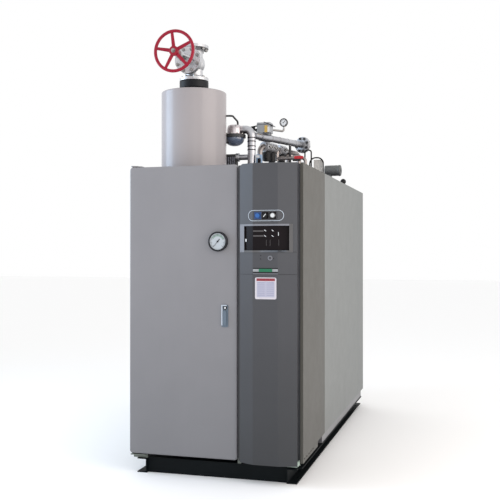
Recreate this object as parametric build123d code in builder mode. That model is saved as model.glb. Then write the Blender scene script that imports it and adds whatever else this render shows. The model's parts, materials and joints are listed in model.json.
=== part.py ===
"""A packaged once-through steam boiler: a tall sheet-metal cabinet on a channel base, with a hinged front
door, a faceted control column, a steam separator standing through the deck, and a stop valve on top of it.

Millimetres, +Z up, +X to the right of someone who faces the door, +Y from the door to the back.
The origin is under the middle of the machine, on the floor.
"""
import math
import os

from build123d import *

os.makedirs("parts", exist_ok=True)

# Cabinet
cabinet_width = 1230.0
cabinet_top = 2120.0
cabinet_depth = 2850.0
panel_thickness = 20.0
panel_low = 145.0
panel_step_up = 37.0
panel_step_depth = 509.0
panel_joint_depth = 777.0
panel_seam = 4.0
right_panel_setback = 12.0
louvre_count = 5
louvre_pitch = 70.0
louvre_inset = 45.0
louvre_length = 36.0
louvre_height = 9.0
louvre_level = 168.0

# Base
base_setback = 30.0
base_length = 2965.0
rail_height = 100.0
rail_flange = 70.0
rail_thickness = 7.0
rail_inset = 47.0
cross_member_width = 50.0
cross_member_count = 5
anchor_hole_diameter = 22.0
anchor_hole_end_distance = 150.0
pan_thickness = 6.0
pan_inset = 14.0
pan_setback = 50.0

# Door
door_low = 136.0
door_thickness = 40.0
door_corner = 22.0
door_edge = 12.0
door_post_gap = 10.0
post_size = 50.0
header_height = 56.0

# Door pivots
pivot_pin_diameter = 14.0
pivot_clearance = 0.1
pivot_pin_depth = 34.0
pivot_plate = 6.0
pivot_plate_gap = 5.0
pivot_plate_width = 110.0
pivot_tongue_width = 32.0

# Control column
column_width = 391.0
column_gap = 28.0
column_side_gap = 9.0
column_reach = 72.0
column_left_reach = 30.0
column_right_reach = 40.0
column_left_facet = 99.0
column_right_facet = 122.0
column_depth = 330.0
column_top_drop = 4.0
column_corner = 25.0
bay_low = 1530.0
bay_high = 1715.0
bay_depth = 10.0
window_margin_left = 34.0
window_margin_right = 49.0
window_margin_top = 12.0
window_thickness = 6.0

# Controls on the column
control_height = 1770.0
control_pitch = 51.0
control_plate_height = 60.0
button_inset = 35.7
control_plate_thickness = 3.0
button_diameter = 30.0
button_proud = 12.0
button_travel = 3.0
button_clearance = 0.3
collar_proud = 6.0
selector_diameter = 34.0
selector_proud = 22.0
selector_bar_width = 12.0
selector_bar_length = 31.0
selector_rest_angle = 45.0
lamp_diameter = 34.0
lamp_proud = 12.0
seat_gap = 0.3

# Door fittings
gauge_inset = 130.0
gauge_height = 1602.0
gauge_diameter = 134.0
gauge_depth = 30.0
gauge_ring = 11.0
latch_inset = 86.0
latch_height = 1102.0
latch_width = 46.0
latch_length = 150.0
latch_plate = 4.0
latch_lever_width = 28.0
latch_lever_length = 96.0
latch_lever_drop = 40.5
latch_lever_thickness = 8.0
latch_lock_diameter = 22.0

# Separator tank
tank_offset = 346.0
tank_setback = 360.0
tank_diameter = 470.0
tank_wall = 9.0
tank_top = 2685.0
tank_shoulder = 8.0
tank_low = 420.0
tank_dish = 95.0
dish_outline = ((0.55, 0.83), (0.85, 0.45))
leg_count = 3
leg_diameter = 54.0
leg_circle_diameter = 282.0
leg_drop = 81.2
tank_end_skirt = 40.0
tank_hole_gap = 5.0
tank_neck_diameter = 114.0
steam_bore = 100.0

# Deck
deck_thickness = 6.0
deck_drop = 18.0

# Stop valve
outlet_flange_bottom = 2714.0
outlet_flange_thickness = 57.0
outlet_flange_edge = 9.0
flange_diameter = 210.0
flange_bolt_circle = 175.0
flange_bolt_hole = 19.0
flange_bolts = 8
valve_flange = 20.0
valve_face_to_face = 256.0
valve_bulb = 79.0
valve_neck = 64.0
valve_hub = 82.0
valve_hub_length = 20.0
valve_port_depth = 62.0
bonnet_reach = 122.0
bonnet_flange = 19.0
bonnet_radius = 95.0
bonnet_neck = 70.0
yoke_reach = 312.0
yoke_boss = 26.0
yoke_boss_length = 34.0
yoke_arm = 16.0
yoke_spread = 50.0
yoke_boss_spread = 15.6
stem_diameter = 24.0
stem_clearance = 0.1
wheel_reach = 400.0
wheel_diameter = 294.0
wheel_rim = 22.0
wheel_hub = 28.0
wheel_hub_length = 34.0
wheel_spoke = 18.0
wheel_spokes = 5
wheel_first_spoke = 97.0

# Riser, trap and header on the deck
riser_offset = 710.0
riser_setback = 610.0
riser_diameter = 60.0
riser_bend = 48.0
crossover_height = 2446.0
trap_offset = 577.0
trap_radius = 84.0
trap_rim_height = 2410.0
trap_rim = 24.0
trap_bowl = 74.0
trap_bowl_depth = 60.0
bowl_outline = ((0.5, 0.9), (0.87, 0.5))
trap_dome = 56.0
trap_dome_side = 34.0
trap_crown = 42.0
trap_dome_height = 70.0
trap_nozzle = 68.0
trap_drain_diameter = 40.0
trap_drain_drop = 50.0
sense_tube_diameter = 14.0
sense_tube_height = 2508.0
sense_tube_rise = 14.0
sense_tube_shift = 26.0
sense_tube_angle = 15.0
sense_tube_reach = 45.0
sense_tube_bend = 18.0
header_diameter = 50.0
header_level = 2404.0
header_end_offset = 964.0
header_end_setback = 1273.0
header_flange_diameter = 130.0
header_flange_thickness = 26.0
header_valve_diameter = 62.0
header_valve_length = 120.0
header_post_diameter = 18.0
header_post_setback = 1089.0

# Actuator and small gauge on the header
actuator_setback = 770.0
actuator_low = 2438.0
actuator_width = 104.0
actuator_depth = 100.0
actuator_height = 75.0
actuator_edge = 8.0
actuator_neck = 34.0
bracket_width = 74.0
bracket_height = 62.0
bracket_lift = 2.0
bracket_tip_drop = 12.0
bracket_thickness = 6.0
bracket_hole = 16.0
bracket_hole_inset = 18.0
bracket_hole_drop = 20.0
gauge_pipe_diameter = 16.0
gauge_pipe_level = 2474.0
gauge_pipe_bend = 20.0
gauge_pipe_setback = 842.0
small_gauge_offset = 876.0
small_gauge_setback = 950.0
small_gauge_height = 2542.0
small_gauge_diameter = 64.0
small_gauge_depth = 16.0
small_gauge_socket = 29.0

# Fuel train and its branch with a lever valve
train_level = 2345.0
train_diameter = 42.0
train_bend = 60.0
train_start_offset = 728.0
train_start_setback = 780.0
train_end_offset = 900.0
train_end_setback = 1380.0
train_body_diameter = 80.0
train_body_length = 76.0
train_body_places = (0.16, 0.29, 0.53)
coil_diameter = 62.0
coil_low = 2243.0
regulator_place = 0.72
regulator_diameter = 132.0
regulator_seat_diameter = 66.0
regulator_rim_low = 12.6
regulator_rim_high = 21.6
regulator_shoulder = 36.0
regulator_cap_diameter = 44.0
regulator_cap_height = 57.6
branch_level = 2272.0
branch_diameter = 26.0
branch_setback = 1032.0
branch_end_offset = 1030.0
branch_bend = 30.0
branch_boss_diameter = 36.0
branch_boss_reach = 60.0
lever_valve_offset = 960.0
lever_valve_diameter = 48.0
lever_valve_length = 60.0
lever_boss_diameter = 20.0
lever_boss_reach = 40.0
lever_length = 74.0
lever_height = 22.0
lever_thickness = 8.0

# Small fittings on the deck
feed_offset = 557.0
feed_width = 76.0
feed_depth = 70.0
feed_top = 2262.0
feed_fin_pitch = 15.0
feed_fin_depth = 10.0
feed_pipe_diameter = 32.0
feed_pipe_level = 2240.0
coil_box_offset = 769.0
coil_box_size = 42.0
coil_box_top = 2255.0
conduit_diameter = 11.0
conduit_loops = ((1012.0, 1063.0, 1100.0, 2340.0, 20.0), (1030.0, 1140.0, 1200.0, 2290.0, 48.0))
junction_offset = 1095.0
junction_setback = 1250.0
junction_width = 70.0
junction_top = 2275.0
motor_offset = 1071.0
motor_setback = 2050.0
motor_level = 2270.0
motor_diameter = 94.0
motor_length = 146.0
motor_round_end = 26.0
motor_saddle_inset = 8.0
motor_saddle_length = 48.0
motor_saddle_width = 60.0
knob_offset = 1138.0
knob_setback = 2200.0
knob_diameter = 52.0
knob_stalk_diameter = 40.0
knob_level = 2182.0

# Places that follow from the sizes above
front_reach = column_reach + selector_proud + control_plate_thickness
overall_length = front_reach + base_setback + base_length
front = -overall_length / 2 + front_reach
left = -cabinet_width / 2
right = cabinet_width / 2
pan_top = rail_height + pan_thickness
deck_top = cabinet_top - deck_drop
deck_low = deck_top - deck_thickness
casing_front = front + panel_joint_depth
cabinet_back = front + cabinet_depth
post_front = front + door_thickness + door_post_gap
door_width = cabinet_width - panel_thickness - column_side_gap - column_width - column_gap
tank_x = left + tank_offset
tank_y = front + tank_setback
tank_radius = tank_diameter / 2
valve_low = outlet_flange_bottom + outlet_flange_thickness
valve_middle = valve_low + valve_face_to_face / 2
valve_top = valve_low + valve_face_to_face
pivot_x = left + door_thickness / 2
pivot_y = front + door_thickness / 2
column_left = left + door_width + column_gap
column_right = right - panel_thickness - column_side_gap
column_front = front - column_reach


def finish(piece, name):
    """Label a finished piece and write it."""
    piece.part.label = name
    export_step(piece.part, f"parts/{name}.step")


def block(low, high, mode=Mode.ADD):
    """A box between two opposite corners, in the part being made."""
    size = [b - a for a, b in zip(low, high)]
    middle = [(a + b) / 2 for a, b in zip(low, high)]
    with Locations(tuple(middle)):
        Box(*size, mode=mode)


def rod(start, end, radius, mode=Mode.ADD):
    """A round bar between two points, in the part being made."""
    along = Vector(*end) - Vector(*start)
    with Locations(Plane(origin=start, z_dir=along)):
        Cylinder(radius, along.length, align=(Align.CENTER, Align.CENTER, Align.MIN), mode=mode)


def pipes(runs):
    """Round pipes, each along straight runs joined by tangent arcs: (points, bend radius, diameter)."""
    with BuildPart() as pipework:
        for points, bend, diameter in runs:
            with BuildLine() as path:
                if bend:
                    FilletPolyline(*points, radius=bend)
                else:
                    Polyline(*points)
            with BuildSketch(Plane(origin=path.line @ 0, z_dir=path.line % 0)):
                Circle(diameter / 2)
            sweep()
    return pipework.part


def turned(centre, along, outline):
    """A solid turned about an axis: outline is (radius, distance along the axis) points."""
    axis = Vector(*along).normalized()
    across = Vector(1, 0, 0) if abs(axis.X) < 0.9 else Vector(0, 1, 0)
    with BuildPart() as turning:
        with BuildSketch(Plane(origin=centre, x_dir=across, z_dir=across.cross(axis))):
            with BuildLine():
                Polyline(*outline, close=True)
            make_face()
        revolve(axis=Axis(centre, tuple(axis)))
    return turning.part


# Base rails: channels that lie with their flanges outwards
for side, name in ((-1, "base_rail_left"), (1, "base_rail_right")):
    tip = side * (right - rail_inset)
    web = tip - side * rail_flange
    rail_front = front + base_setback
    rail_back = rail_front + base_length
    with BuildPart() as rail:
        block((min(tip, web), rail_front, 0), (max(tip, web), rail_back, rail_height))
        web_face = web + side * rail_thickness
        block(
            (min(tip, web_face), rail_front, rail_thickness),
            (max(tip, web_face), rail_back, rail_height - rail_thickness),
            mode=Mode.SUBTRACT,
        )
        hole_x = (tip + web_face) / 2
        for hole_y in (rail_front + anchor_hole_end_distance, rail_back - anchor_hole_end_distance):
            rod(
                (hole_x, hole_y, 0),
                (hole_x, hole_y, rail_thickness),
                anchor_hole_diameter / 2,
                Mode.SUBTRACT,
            )
    finish(rail, name)

# Cross members between the webs of the rails
member_reach = right - rail_inset - rail_flange
member_first = front + base_setback + cross_member_width
member_last = front + base_setback + base_length - cross_member_width
member_step = (member_last - member_first) / (cross_member_count - 1)
with BuildPart() as cross_members:
    for index in range(cross_member_count):
        member_y = member_first + index * member_step
        with BuildSketch(Plane.YZ.offset(-member_reach)):
            with Locations((member_y, rail_height / 2)):
                Rectangle(cross_member_width, rail_height)
            with Locations((member_y + rail_thickness, rail_height / 2)):
                Rectangle(
                    cross_member_width,
                    rail_height - 2 * rail_thickness,
                    mode=Mode.SUBTRACT,
                )
        extrude(amount=2 * member_reach)
finish(cross_members, "base_cross_members")

# Floor pan on the rails
with BuildPart() as floor_pan:
    block(
        (left + pan_inset, front + pan_setback, rail_height),
        (right - pan_inset, cabinet_back - pan_inset, pan_top),
    )
finish(floor_pan, "floor_pan")

# Posts and header round the doorway
post_back = post_front + post_size
door_right = left + door_width
with BuildPart() as post_left:
    block(
        (left + panel_thickness, post_front, pan_top),
        (left + panel_thickness + post_size, post_back, deck_low),
    )
finish(post_left, "front_post_left")
post_right_inner = door_right - door_edge
with BuildPart() as post_right:
    block((post_right_inner, post_front, pan_top), (post_right_inner + post_size / 2, post_back, deck_low))
finish(post_right, "front_post_right")
with BuildPart() as header:
    block(
        (left + panel_thickness + post_size, post_front, deck_low - header_height),
        (post_right_inner, post_back, deck_low),
    )
finish(header, "door_header")

# Door leaf with pivot holes in its top and bottom edges
with BuildPart() as door:
    with BuildSketch(Plane.XZ.offset(-front)):
        with Locations((left + door_width / 2, (door_low + cabinet_top) / 2)):
            RectangleRounded(door_width, cabinet_top - door_low, door_corner)
    extrude(amount=-door_thickness)
    fillet(door.faces().filter_by(Axis.Y).edges(), door_edge)
    hole_radius = pivot_pin_diameter / 2 + pivot_clearance
    hole_depth = pivot_pin_depth + pivot_plate_gap
    rod((pivot_x, pivot_y, door_low), (pivot_x, pivot_y, door_low + hole_depth), hole_radius, Mode.SUBTRACT)
    rod(
        (pivot_x, pivot_y, cabinet_top),
        (pivot_x, pivot_y, cabinet_top - hole_depth),
        hole_radius,
        Mode.SUBTRACT,
    )
finish(door, "front_door")

# Lower pivot: an angle on the floor pan with an upright pin
lower_plate_top = door_low - pivot_plate_gap
with BuildPart() as lower_pivot:
    block(
        (left + pan_inset - pivot_plate, front + pivot_plate / 2, lower_plate_top - pivot_plate),
        (left + pan_inset - pivot_plate + pivot_plate_width, post_front, lower_plate_top),
    )
    block(
        (left + pan_inset, front + pan_setback - pivot_plate, rail_height),
        (
            left + pan_inset - pivot_plate + pivot_plate_width,
            front + pan_setback,
            lower_plate_top - pivot_plate,
        ),
    )
    rod(
        (pivot_x, pivot_y, lower_plate_top - pivot_plate / 2),
        (pivot_x, pivot_y, door_low + pivot_pin_depth),
        pivot_pin_diameter / 2,
    )
finish(lower_pivot, "door_pivot_lower")

# Upper pivot: a tongue from a block on the deck, with a hanging pin
upper_plate_low = cabinet_top + pivot_plate_gap
with BuildPart() as upper_pivot:
    block(
        (left + panel_thickness, post_front, deck_top),
        (left + panel_thickness + post_size, post_back, upper_plate_low + pivot_plate),
    )
    with BuildSketch(Plane.XY.offset(upper_plate_low)):
        with Locations((pivot_x, pivot_y)):
            Circle(pivot_tongue_width / 2)
        tongue_length = post_front - pivot_y
        with Locations((pivot_x, pivot_y + tongue_length / 2)):
            Rectangle(pivot_tongue_width, tongue_length)
        with Locations((left + panel_thickness, post_front - post_size / 4)):
            Rectangle(pivot_tongue_width, post_size / 2, align=(Align.MIN, Align.CENTER))
    extrude(amount=pivot_plate)
    rod(
        (pivot_x, pivot_y, upper_plate_low),
        (pivot_x, pivot_y, cabinet_top - pivot_pin_depth),
        pivot_pin_diameter / 2,
    )
finish(upper_pivot, "door_pivot_upper")

# Door gauge: a ring case with a dial set in it
gauge_x = left + door_width - gauge_inset
gauge_radius = gauge_diameter / 2
case = turned(
    (gauge_x, front, gauge_height),
    (0, -1, 0),
    [
        (0, 0),
        (gauge_radius - gauge_ring / 2, 0),
        (gauge_radius, gauge_ring / 2),
        (gauge_radius, gauge_depth - gauge_ring / 3),
        (gauge_radius - gauge_ring / 3, gauge_depth),
        (gauge_radius - gauge_ring, gauge_depth),
        (gauge_radius - gauge_ring, gauge_ring),
        (0, gauge_ring),
    ],
)
with BuildPart() as gauge_case:
    add(case)
finish(gauge_case, "door_gauge_case")
dial_depth = gauge_depth - gauge_ring / 2
with BuildPart() as gauge_dial:
    rod(
        (gauge_x, front - gauge_ring, gauge_height),
        (gauge_x, front - dial_depth, gauge_height),
        gauge_radius - gauge_ring,
    )
finish(gauge_dial, "door_gauge_dial")

# Door latch: a plate with a lock, and a pull lever hinged at its top
latch_x = left + door_width - latch_inset
latch_top = latch_height + latch_length / 2
lever_top = latch_top - latch_lever_drop
with BuildPart() as latch:
    with BuildSketch(Plane.XZ.offset(-front)):
        with Locations((latch_x, latch_height)):
            RectangleRounded(latch_width, latch_length, latch_width / 4)
    extrude(amount=latch_plate)
    lock_z = (latch_top + lever_top) / 2
    rod(
        (latch_x, front - latch_plate, lock_z),
        (latch_x, front - latch_plate - latch_lever_thickness / 2, lock_z),
        latch_lock_diameter / 2,
    )
finish(latch, "door_latch")
lever_back = front - latch_plate - seat_gap
with BuildPart() as latch_lever:
    with BuildSketch(Plane.XZ.offset(-lever_back)):
        with Locations((latch_x, lever_top - latch_lever_length / 2)):
            RectangleRounded(latch_lever_width, latch_lever_length, latch_lever_width / 5)
    extrude(amount=latch_lever_thickness)
    fillet(latch_lever.faces().sort_by(Axis.Y)[0].edges(), latch_lever_thickness / 3)
finish(latch_lever, "latch_lever")

# Control column: a tall box with three front facets and a bay for the display
column_outline = [
    (column_left, front + column_depth),
    (column_left, front - column_left_reach),
    (column_left + column_left_facet, column_front),
    (column_right - column_right_facet, column_front),
    (column_right, front - column_right_reach),
    (column_right, front + column_depth),
]
button_x = column_left + column_left_facet + button_inset
selector_x = button_x + control_pitch
lamp_x = selector_x + control_pitch
with BuildPart() as column:
    with BuildSketch(Plane.XY.offset(door_low)):
        with BuildLine():
            Polyline(*column_outline, close=True)
        make_face()
    extrude(amount=cabinet_top - column_top_drop - door_low)
    top_edges = column.edges().filter_by(Axis.Y).group_by(Axis.Z)[-1]
    fillet(top_edges.sort_by(Axis.X)[0], column_corner)
    with BuildSketch(Plane.XY.offset(bay_low + window_margin_top)):
        with BuildLine():
            Polyline(
                (column_left + window_margin_left, front - column_right_reach + bay_depth),
                (column_left + window_margin_left, column_front - bay_depth),
                (column_right - window_margin_right, column_front - bay_depth),
                (column_right - window_margin_right, front - column_right_reach + bay_depth),
                (column_right - column_right_facet, column_front + bay_depth),
                (column_left + column_left_facet, column_front + bay_depth),
                close=True,
            )
        make_face()
    extrude(amount=bay_high - bay_low - 2 * window_margin_top, mode=Mode.SUBTRACT)
    well_depth = button_travel + button_clearance + collar_proud
    rod(
        (button_x, column_front, control_height),
        (button_x, column_front + well_depth, control_height),
        button_diameter / 2 + button_clearance,
        Mode.SUBTRACT,
    )
finish(column, "control_column")
with BuildPart() as column_foot:
    block(
        (column_left + pan_inset, post_front, pan_top),
        (column_right - pan_inset, front + column_depth, door_low),
    )
finish(column_foot, "column_foot")

# Display window, following the facets in its bay
with BuildPart() as window:
    with BuildSketch(Plane.XY.offset(bay_low + window_margin_top)):
        with BuildLine():
            Polyline(
                (column_left + window_margin_left, front - column_right_reach + bay_depth),
                (column_left + column_left_facet, column_front + bay_depth),
                (column_right - column_right_facet, column_front + bay_depth),
                (column_right - window_margin_right, front - column_right_reach + bay_depth),
                (
                    column_right - window_margin_right,
                    front - column_right_reach + bay_depth - window_thickness,
                ),
                (column_right - column_right_facet, column_front + bay_depth - window_thickness),
                (column_left + column_left_facet, column_front + bay_depth - window_thickness),
                (
                    column_left + window_margin_left,
                    front - column_right_reach + bay_depth - window_thickness,
                ),
                close=True,
            )
        make_face()
    extrude(amount=bay_high - bay_low - 2 * window_margin_top)
finish(window, "display_window")

# Control plate with a push button, a selector and a lamp
plate_front = column_front - control_plate_thickness
with BuildPart() as control_plate:
    with BuildSketch(Plane.XZ.offset(-column_front)):
        with Locations(((button_x + lamp_x) / 2, control_height)):
            SlotOverall(lamp_x - button_x + control_plate_height, control_plate_height)
        with Locations((button_x, control_height)):
            Circle(button_diameter / 2 + button_clearance, mode=Mode.SUBTRACT)
    extrude(amount=control_plate_thickness)
finish(control_plate, "control_plate")
with BuildPart() as push_button:
    rod(
        (button_x, column_front + collar_proud, control_height),
        (button_x, plate_front - button_proud, control_height),
        button_diameter / 2,
    )
    fillet(push_button.edges().sort_by(Axis.Y)[0], button_clearance * 5)
finish(push_button, "push_button")
with BuildPart() as selector:
    rod(
        (selector_x, plate_front - seat_gap, control_height),
        (selector_x, plate_front - selector_proud / 2, control_height),
        selector_diameter / 2,
    )
    bar_turn = math.radians(selector_rest_angle)
    bar_face = Plane(
        origin=(selector_x, plate_front - selector_proud / 2, control_height),
        x_dir=(math.cos(bar_turn), 0, math.sin(bar_turn)),
        z_dir=(0, -1, 0),
    )
    with BuildSketch(bar_face):
        SlotOverall(selector_bar_length, selector_bar_width)
    extrude(amount=selector_proud / 2)
finish(selector, "selector_knob")
lamp = turned(
    (lamp_x, plate_front, control_height),
    (0, -1, 0),
    [
        (0, 0),
        (lamp_diameter / 2, 0),
        (lamp_diameter / 2, lamp_proud / 2),
        (lamp_diameter / 2 - lamp_proud / 3, lamp_proud),
        (0, lamp_proud),
    ],
)
with BuildPart() as pilot_lamp:
    add(lamp)
finish(pilot_lamp, "pilot_lamp")

# Side panels: a front and a rear panel on each side, the front one with a skirt that reaches lower
panel_high_edge = panel_low + panel_step_up
for side, setback, name in ((-1, post_front - front, "left"), (1, right_panel_setback, "right")):
    outer = side * right
    inner = outer - side * panel_thickness
    with BuildPart() as front_panel:
        with BuildSketch(Plane.YZ.offset(min(outer, inner))):
            with BuildLine():
                Polyline(
                    (front + setback, panel_low),
                    (front + panel_step_depth, panel_low),
                    (front + panel_step_depth, panel_high_edge),
                    (casing_front, panel_high_edge),
                    (casing_front, cabinet_top),
                    (front + setback, cabinet_top),
                    close=True,
                )
            make_face()
            louvre_middle = front + setback + louvre_inset + louvre_pitch * (louvre_count - 1) / 2
            with Locations((louvre_middle, louvre_level)):
                with GridLocations(louvre_pitch, 0, louvre_count, 1):
                    SlotOverall(louvre_length, louvre_height, mode=Mode.SUBTRACT)
        extrude(amount=panel_thickness)
    finish(front_panel, f"{name}_front_panel")
    with BuildPart() as rear_side_panel:
        block(
            (min(outer, inner), casing_front + panel_seam, panel_high_edge),
            (max(outer, inner), cabinet_back, cabinet_top),
        )
    finish(rear_side_panel, f"{name}_rear_panel")

# Rear panel and the insulated boiler casing
with BuildPart() as back_panel:
    block(
        (left + panel_thickness, cabinet_back - panel_thickness, panel_high_edge),
        (right - panel_thickness, cabinet_back, cabinet_top),
    )
finish(back_panel, "back_panel")
with BuildPart() as casing:
    block(
        (left + panel_thickness, casing_front, pan_top),
        (right - panel_thickness, cabinet_back - panel_thickness, deck_low),
    )
finish(casing, "boiler_casing")

# Deck with a hole for the tank and a corner left out for the control column
deck_notch_x = door_right + column_gap / 2
deck_notch_y = front + column_depth + column_side_gap
with BuildPart() as deck:
    with BuildSketch(Plane.XY.offset(deck_low)):
        with BuildLine():
            Polyline(
                (left + panel_thickness, post_front),
                (deck_notch_x, post_front),
                (deck_notch_x, deck_notch_y),
                (right - panel_thickness, deck_notch_y),
                (right - panel_thickness, cabinet_back - panel_thickness),
                (left + panel_thickness, cabinet_back - panel_thickness),
                close=True,
            )
        make_face()
        with Locations((tank_x, tank_y)):
            Circle(tank_radius + tank_hole_gap, mode=Mode.SUBTRACT)
    extrude(amount=deck_thickness)
finish(deck, "top_deck")

# Separator tank: shell, ends and skirt
tank_end_low = tank_top - tank_shoulder - tank_end_skirt
with BuildPart() as tank_shell:
    with BuildSketch(Plane.XY.offset(tank_low)):
        with Locations((tank_x, tank_y)):
            Circle(tank_radius)
            Circle(tank_radius - tank_wall, mode=Mode.SUBTRACT)
    extrude(amount=tank_end_low - tank_low)
finish(tank_shell, "tank_shell")
with BuildPart() as tank_top_end:
    with Locations((tank_x, tank_y, tank_end_low)):
        Cylinder(tank_radius, tank_top - tank_end_low, align=(Align.CENTER, Align.CENTER, Align.MIN))
    fillet(tank_top_end.edges().sort_by(Axis.Z)[-1], tank_shoulder)
    offset(amount=-tank_wall, openings=tank_top_end.faces().sort_by(Axis.Z)[0])
    rod(
        (tank_x, tank_y, tank_top - tank_wall),
        (tank_x, tank_y, outlet_flange_bottom),
        tank_neck_diameter / 2,
    )
    rod(
        (tank_x, tank_y, tank_end_low),
        (tank_x, tank_y, outlet_flange_bottom),
        steam_bore / 2,
        Mode.SUBTRACT,
    )
finish(tank_top_end, "tank_top_end")
tank_inner = tank_radius - tank_wall
bottom_end = turned(
    (tank_x, tank_y, tank_low),
    (0, 0, 1),
    [
        (0, -tank_dish),
        *[(tank_radius * across, -tank_dish * deep) for across, deep in dish_outline],
        (tank_radius, 0),
        (tank_inner, 0),
        *[(tank_inner * across, (tank_wall - tank_dish) * deep) for across, deep in reversed(dish_outline)],
        (0, tank_wall - tank_dish),
    ],
)
with BuildPart() as tank_bottom_end:
    add(bottom_end)
finish(tank_bottom_end, "tank_bottom_end")
leg_length = tank_low - leg_drop - pan_top
with BuildPart() as tank_legs:
    with Locations((tank_x, tank_y)):
        with PolarLocations(leg_circle_diameter / 2, leg_count, start_angle=30):
            with Locations((0, 0, pan_top)):
                Cylinder(leg_diameter / 2, leg_length, align=(Align.CENTER, Align.CENTER, Align.MIN))
finish(tank_legs, "tank_legs")

# Outlet flange on the tank's neck
with BuildPart() as outlet_flange:
    with BuildSketch(Plane.XY.offset(outlet_flange_bottom)):
        with Locations((tank_x, tank_y)):
            Circle(flange_diameter / 2)
            Circle(steam_bore / 2, mode=Mode.SUBTRACT)
    extrude(amount=outlet_flange_thickness)
    rims = outlet_flange.edges().filter_by(GeomType.CIRCLE).sort_by(SortBy.LENGTH)[-2:]
    fillet(rims, outlet_flange_edge)
finish(outlet_flange, "outlet_flange")

# Stop valve body: two line flanges, a bulb between them and a neck for the bonnet
flange_radius = flange_diameter / 2
valve_outline = turned(
    (tank_x, tank_y, valve_low),
    (0, 0, 1),
    [
        (0, 0),
        (flange_radius, 0),
        (flange_radius, valve_flange),
        (valve_hub, valve_flange),
        (valve_neck, valve_flange + valve_hub_length),
        (valve_neck, valve_face_to_face - valve_flange - valve_hub_length),
        (valve_hub, valve_face_to_face - valve_flange),
        (flange_radius, valve_face_to_face - valve_flange),
        (flange_radius, valve_face_to_face),
        (0, valve_face_to_face),
    ],
)
bonnet_y = tank_y - bonnet_reach
with BuildPart() as valve_body:
    add(valve_outline)
    with Locations((tank_x, tank_y, valve_middle)):
        Sphere(valve_bulb)
    rod((tank_x, tank_y, valve_middle), (tank_x, bonnet_y, valve_middle), bonnet_neck)
    rod(
        (tank_x, bonnet_y + bonnet_flange, valve_middle),
        (tank_x, bonnet_y, valve_middle),
        bonnet_radius,
    )
    rod(
        (tank_x, tank_y, valve_low),
        (tank_x, tank_y, valve_low + valve_port_depth),
        steam_bore / 2,
        Mode.SUBTRACT,
    )
    rod(
        (tank_x, tank_y, valve_top),
        (tank_x, tank_y, valve_top - valve_port_depth),
        steam_bore / 2,
        Mode.SUBTRACT,
    )
    with BuildSketch(Plane.XY.offset(valve_top)):
        with Locations((tank_x, tank_y)):
            with PolarLocations(flange_bolt_circle / 2, flange_bolts, start_angle=180 / flange_bolts):
                Circle(flange_bolt_hole / 2)
    extrude(amount=-valve_flange, mode=Mode.SUBTRACT)
finish(valve_body, "valve_body")

# Bonnet with its yoke
bonnet_front = bonnet_y - bonnet_flange
boss_y = tank_y - yoke_reach
stem_hole = stem_diameter / 2 + stem_clearance
with BuildPart() as bonnet:
    rod((tank_x, bonnet_y, valve_middle), (tank_x, bonnet_front, valve_middle), bonnet_radius)
    rod(
        (tank_x, bonnet_front, valve_middle),
        (tank_x, bonnet_front - yoke_spread, valve_middle),
        bonnet_neck / 2,
    )
    for arm_side in (-1, 1):
        rod(
            (tank_x + arm_side * yoke_spread, bonnet_front + yoke_arm / 2, valve_middle),
            (tank_x + arm_side * yoke_boss_spread, boss_y, valve_middle),
            yoke_arm / 2,
        )
    rod(
        (tank_x, boss_y + yoke_boss_length / 2, valve_middle),
        (tank_x, boss_y - yoke_boss_length / 2, valve_middle),
        yoke_boss,
    )
    rod(
        (tank_x, bonnet_y - bonnet_flange / 2, valve_middle),
        (tank_x, tank_y - wheel_reach, valve_middle),
        stem_hole,
        Mode.SUBTRACT,
    )
finish(bonnet, "valve_bonnet")

# Stem and handwheel
wheel_y = tank_y - wheel_reach
wheel_back = wheel_y + wheel_hub_length / 2
with BuildPart() as stem:
    rod(
        (tank_x, bonnet_y - bonnet_flange / 2 - seat_gap, valve_middle),
        (tank_x, wheel_back, valve_middle),
        stem_diameter / 2,
    )
finish(stem, "valve_stem")
rim_radius = (wheel_diameter - wheel_rim) / 2
with BuildPart() as handwheel:
    with Locations(Plane(origin=(tank_x, wheel_y, valve_middle), z_dir=(0, -1, 0))):
        Torus(rim_radius, wheel_rim / 2)
        Cylinder(wheel_hub, wheel_hub_length)
    for index in range(wheel_spokes):
        angle = math.radians(wheel_first_spoke + index * 360 / wheel_spokes)
        rod(
            (tank_x, wheel_y, valve_middle),
            (tank_x + rim_radius * math.cos(angle), wheel_y, valve_middle + rim_radius * math.sin(angle)),
            wheel_spoke / 2,
        )
finish(handwheel, "handwheel")

# Riser from the deck, bent over to the trap
riser_x = left + riser_offset
riser_y = front + riser_setback
trap_x = left + trap_offset
nozzle_end = trap_x + trap_nozzle
riser_points = [
    (riser_x, riser_y, deck_top),
    (riser_x, riser_y, crossover_height),
    (nozzle_end, riser_y, crossover_height),
]
with BuildPart() as riser:
    add(pipes([(riser_points, riser_bend, riser_diameter)]))
finish(riser, "riser_pipe")

# Trap: a bowl under a rim, a dome with a nozzle over it, and a stub from the tank
trap = turned(
    (trap_x, riser_y, trap_rim_height),
    (0, 0, 1),
    [
        (0, -trap_rim - trap_bowl_depth),
        *[(trap_bowl * across, -trap_rim - trap_bowl_depth * deep) for across, deep in bowl_outline],
        (trap_bowl, -trap_rim),
        (trap_radius, -trap_rim),
        (trap_radius, 0),
        (trap_dome, 0),
        (trap_dome, trap_dome_side),
        (trap_crown, trap_dome_height),
        (0, trap_dome_height),
    ],
)
to_trap = Vector(trap_x - tank_x, riser_y - tank_y, 0).normalized()
drain_level = trap_rim_height - trap_drain_drop
drain_start = Vector(tank_x, tank_y, drain_level) + to_trap * tank_radius
with BuildPart() as trap_body:
    add(trap)
    rod((trap_x, riser_y, crossover_height), (nozzle_end, riser_y, crossover_height), riser_diameter / 2)
    rod(tuple(drain_start), (trap_x, riser_y, drain_level), trap_drain_diameter / 2)
finish(trap_body, "trap_body")

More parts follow.
